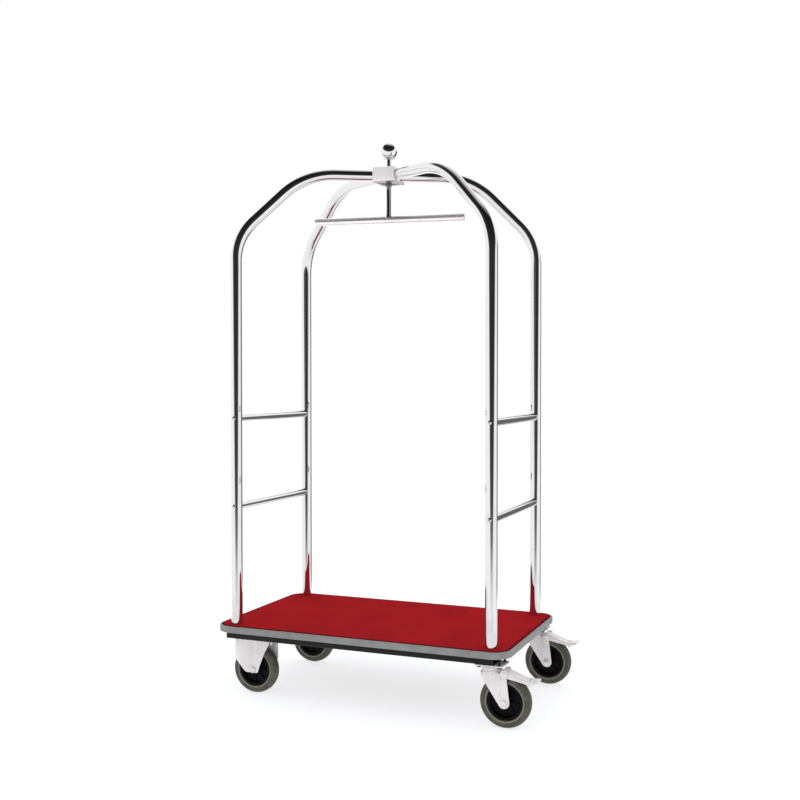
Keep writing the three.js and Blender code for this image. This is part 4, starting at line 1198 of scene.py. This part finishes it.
def studio():
    """A white cove, a dark ceiling down behind the camera, a soft box overhead and a low dark card."""
    world = bpy.data.worlds.new("studio")
    bpy.context.scene.world = world
    world.use_nodes = True
    world.node_tree.nodes.clear()
    room = Graph(world.node_tree)
    times, plus, minus, spread = room.times, room.plus, room.minus, room.spread
    direction = room.node("ShaderNodeTexCoord").outputs["Generated"]
    x, y, z = room.node("ShaderNodeSeparateXYZ", Vector=direction).outputs
    level = room.calc("SQRT", room.calc("MAXIMUM", minus(1.0, times(z, z)), 1e-6))
    elevation = times(room.calc("ARCSINE", z), 180 / math.pi)

    def towards(heading):
        """The cosine of the level angle from a heading in degrees, 0 along -Y and 90 along +X."""
        angle = math.radians(heading)
        sideways = times(x, math.sin(angle))
        forwards = times(y, -math.cos(angle))
        return room.calc("DIVIDE", plus(sideways, forwards), level)

    def blend(first, second, share):
        """first where share is 0, second where it is 1."""
        rest = minus(1.0, share)
        return plus(times(first, rest), times(second, share))

    aside = minus(1.0 - DARK_WIDTH, towards(DARK_HEADING))
    lift = times(room.calc("MAXIMUM", aside, 0.0), DARK_LIFT)
    wall = wall_shade(room, minus(minus(elevation, DARK_EDGE), lift))

    # The box: a faint halo and a bright core, by the cosine of the angle from its middle.
    far, up = math.cos(BOX_ELEVATION), math.sin(BOX_ELEVATION)
    to_box = plus(times(y, far), times(z, up))
    glow = plus(spread(to_box, 0.766, 0.9, 0, 0.31), spread(to_box, 0.89, 0.985, 0, 0.54))
    # The card: its sides by cosine, then its lower and upper edges in degrees.
    card = times(spread(towards(CARD_HEADING), 0.8, 0.92), spread(elevation, -34, -24))
    card = times(card, spread(elevation, 16, 7))
    mirrored = blend(room.calc("MAXIMUM", wall, glow), CARD_SHADE, card)

    # Matt surfaces are lit by a plain soft light, the camera sees white, and the rest mirrors the room.
    soft = spread(z, -0.4, 1.0, 0.72, 1.12)
    ray = room.node("ShaderNodeLightPath").outputs
    light = blend(mirrored, soft, ray["Is Diffuse Ray"])
    shown = blend(light, 1.0, ray["Is Camera Ray"])
    background = room.node("ShaderNodeBackground", Color=(1, 1, 1, 1), Strength=shown)
    room.node("ShaderNodeOutputWorld", Surface=background.outputs["Background"])


def floor():
    finish = Finish(
        "pale_floor",
        Base_Color=(0.375, 0.385, 0.405, 1),
        Roughness=1.0,
        Specular_IOR_Level=0.0,
        Emission_Color=(0.985, 0.985, 1, 1),
        Emission_Strength=0.72,
    )
    half = FLOOR_HALF
    corners = [(-half, -half, 0), (half, -half, 0), (half, half, 0), (-half, half, 0)]
    plane = new_object("floor", Shape(corners, [(0, 1, 2, 3)]))
    plane.data.materials.append(finish.material)
    plane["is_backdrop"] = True


def camera():
    """The photo's viewpoint, as its deck, posts and side rails place it."""
    data = bpy.data.cameras.new("camera")
    data.lens = CAMERA_LENS
    data.sensor_width = 36
    data.clip_end = 200
    obj = bpy.data.objects.new("camera", data)
    obj.location = CAMERA_PLACE
    obj.rotation_euler = (math.pi / 2 - CAMERA_DIP, 0, CAMERA_HEADING)
    bpy.context.scene.collection.objects.link(obj)
    bpy.context.scene.camera = obj


studio()
floor()
camera()
bpy.context.scene.view_settings.view_transform = "Standard"
bpy.context.scene.view_settings.look = "None"

plain = lambda box: [list(map(float, corner)) for corner in box]
{"cad": plain(CAD_BOX), "visual": plain(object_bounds())}
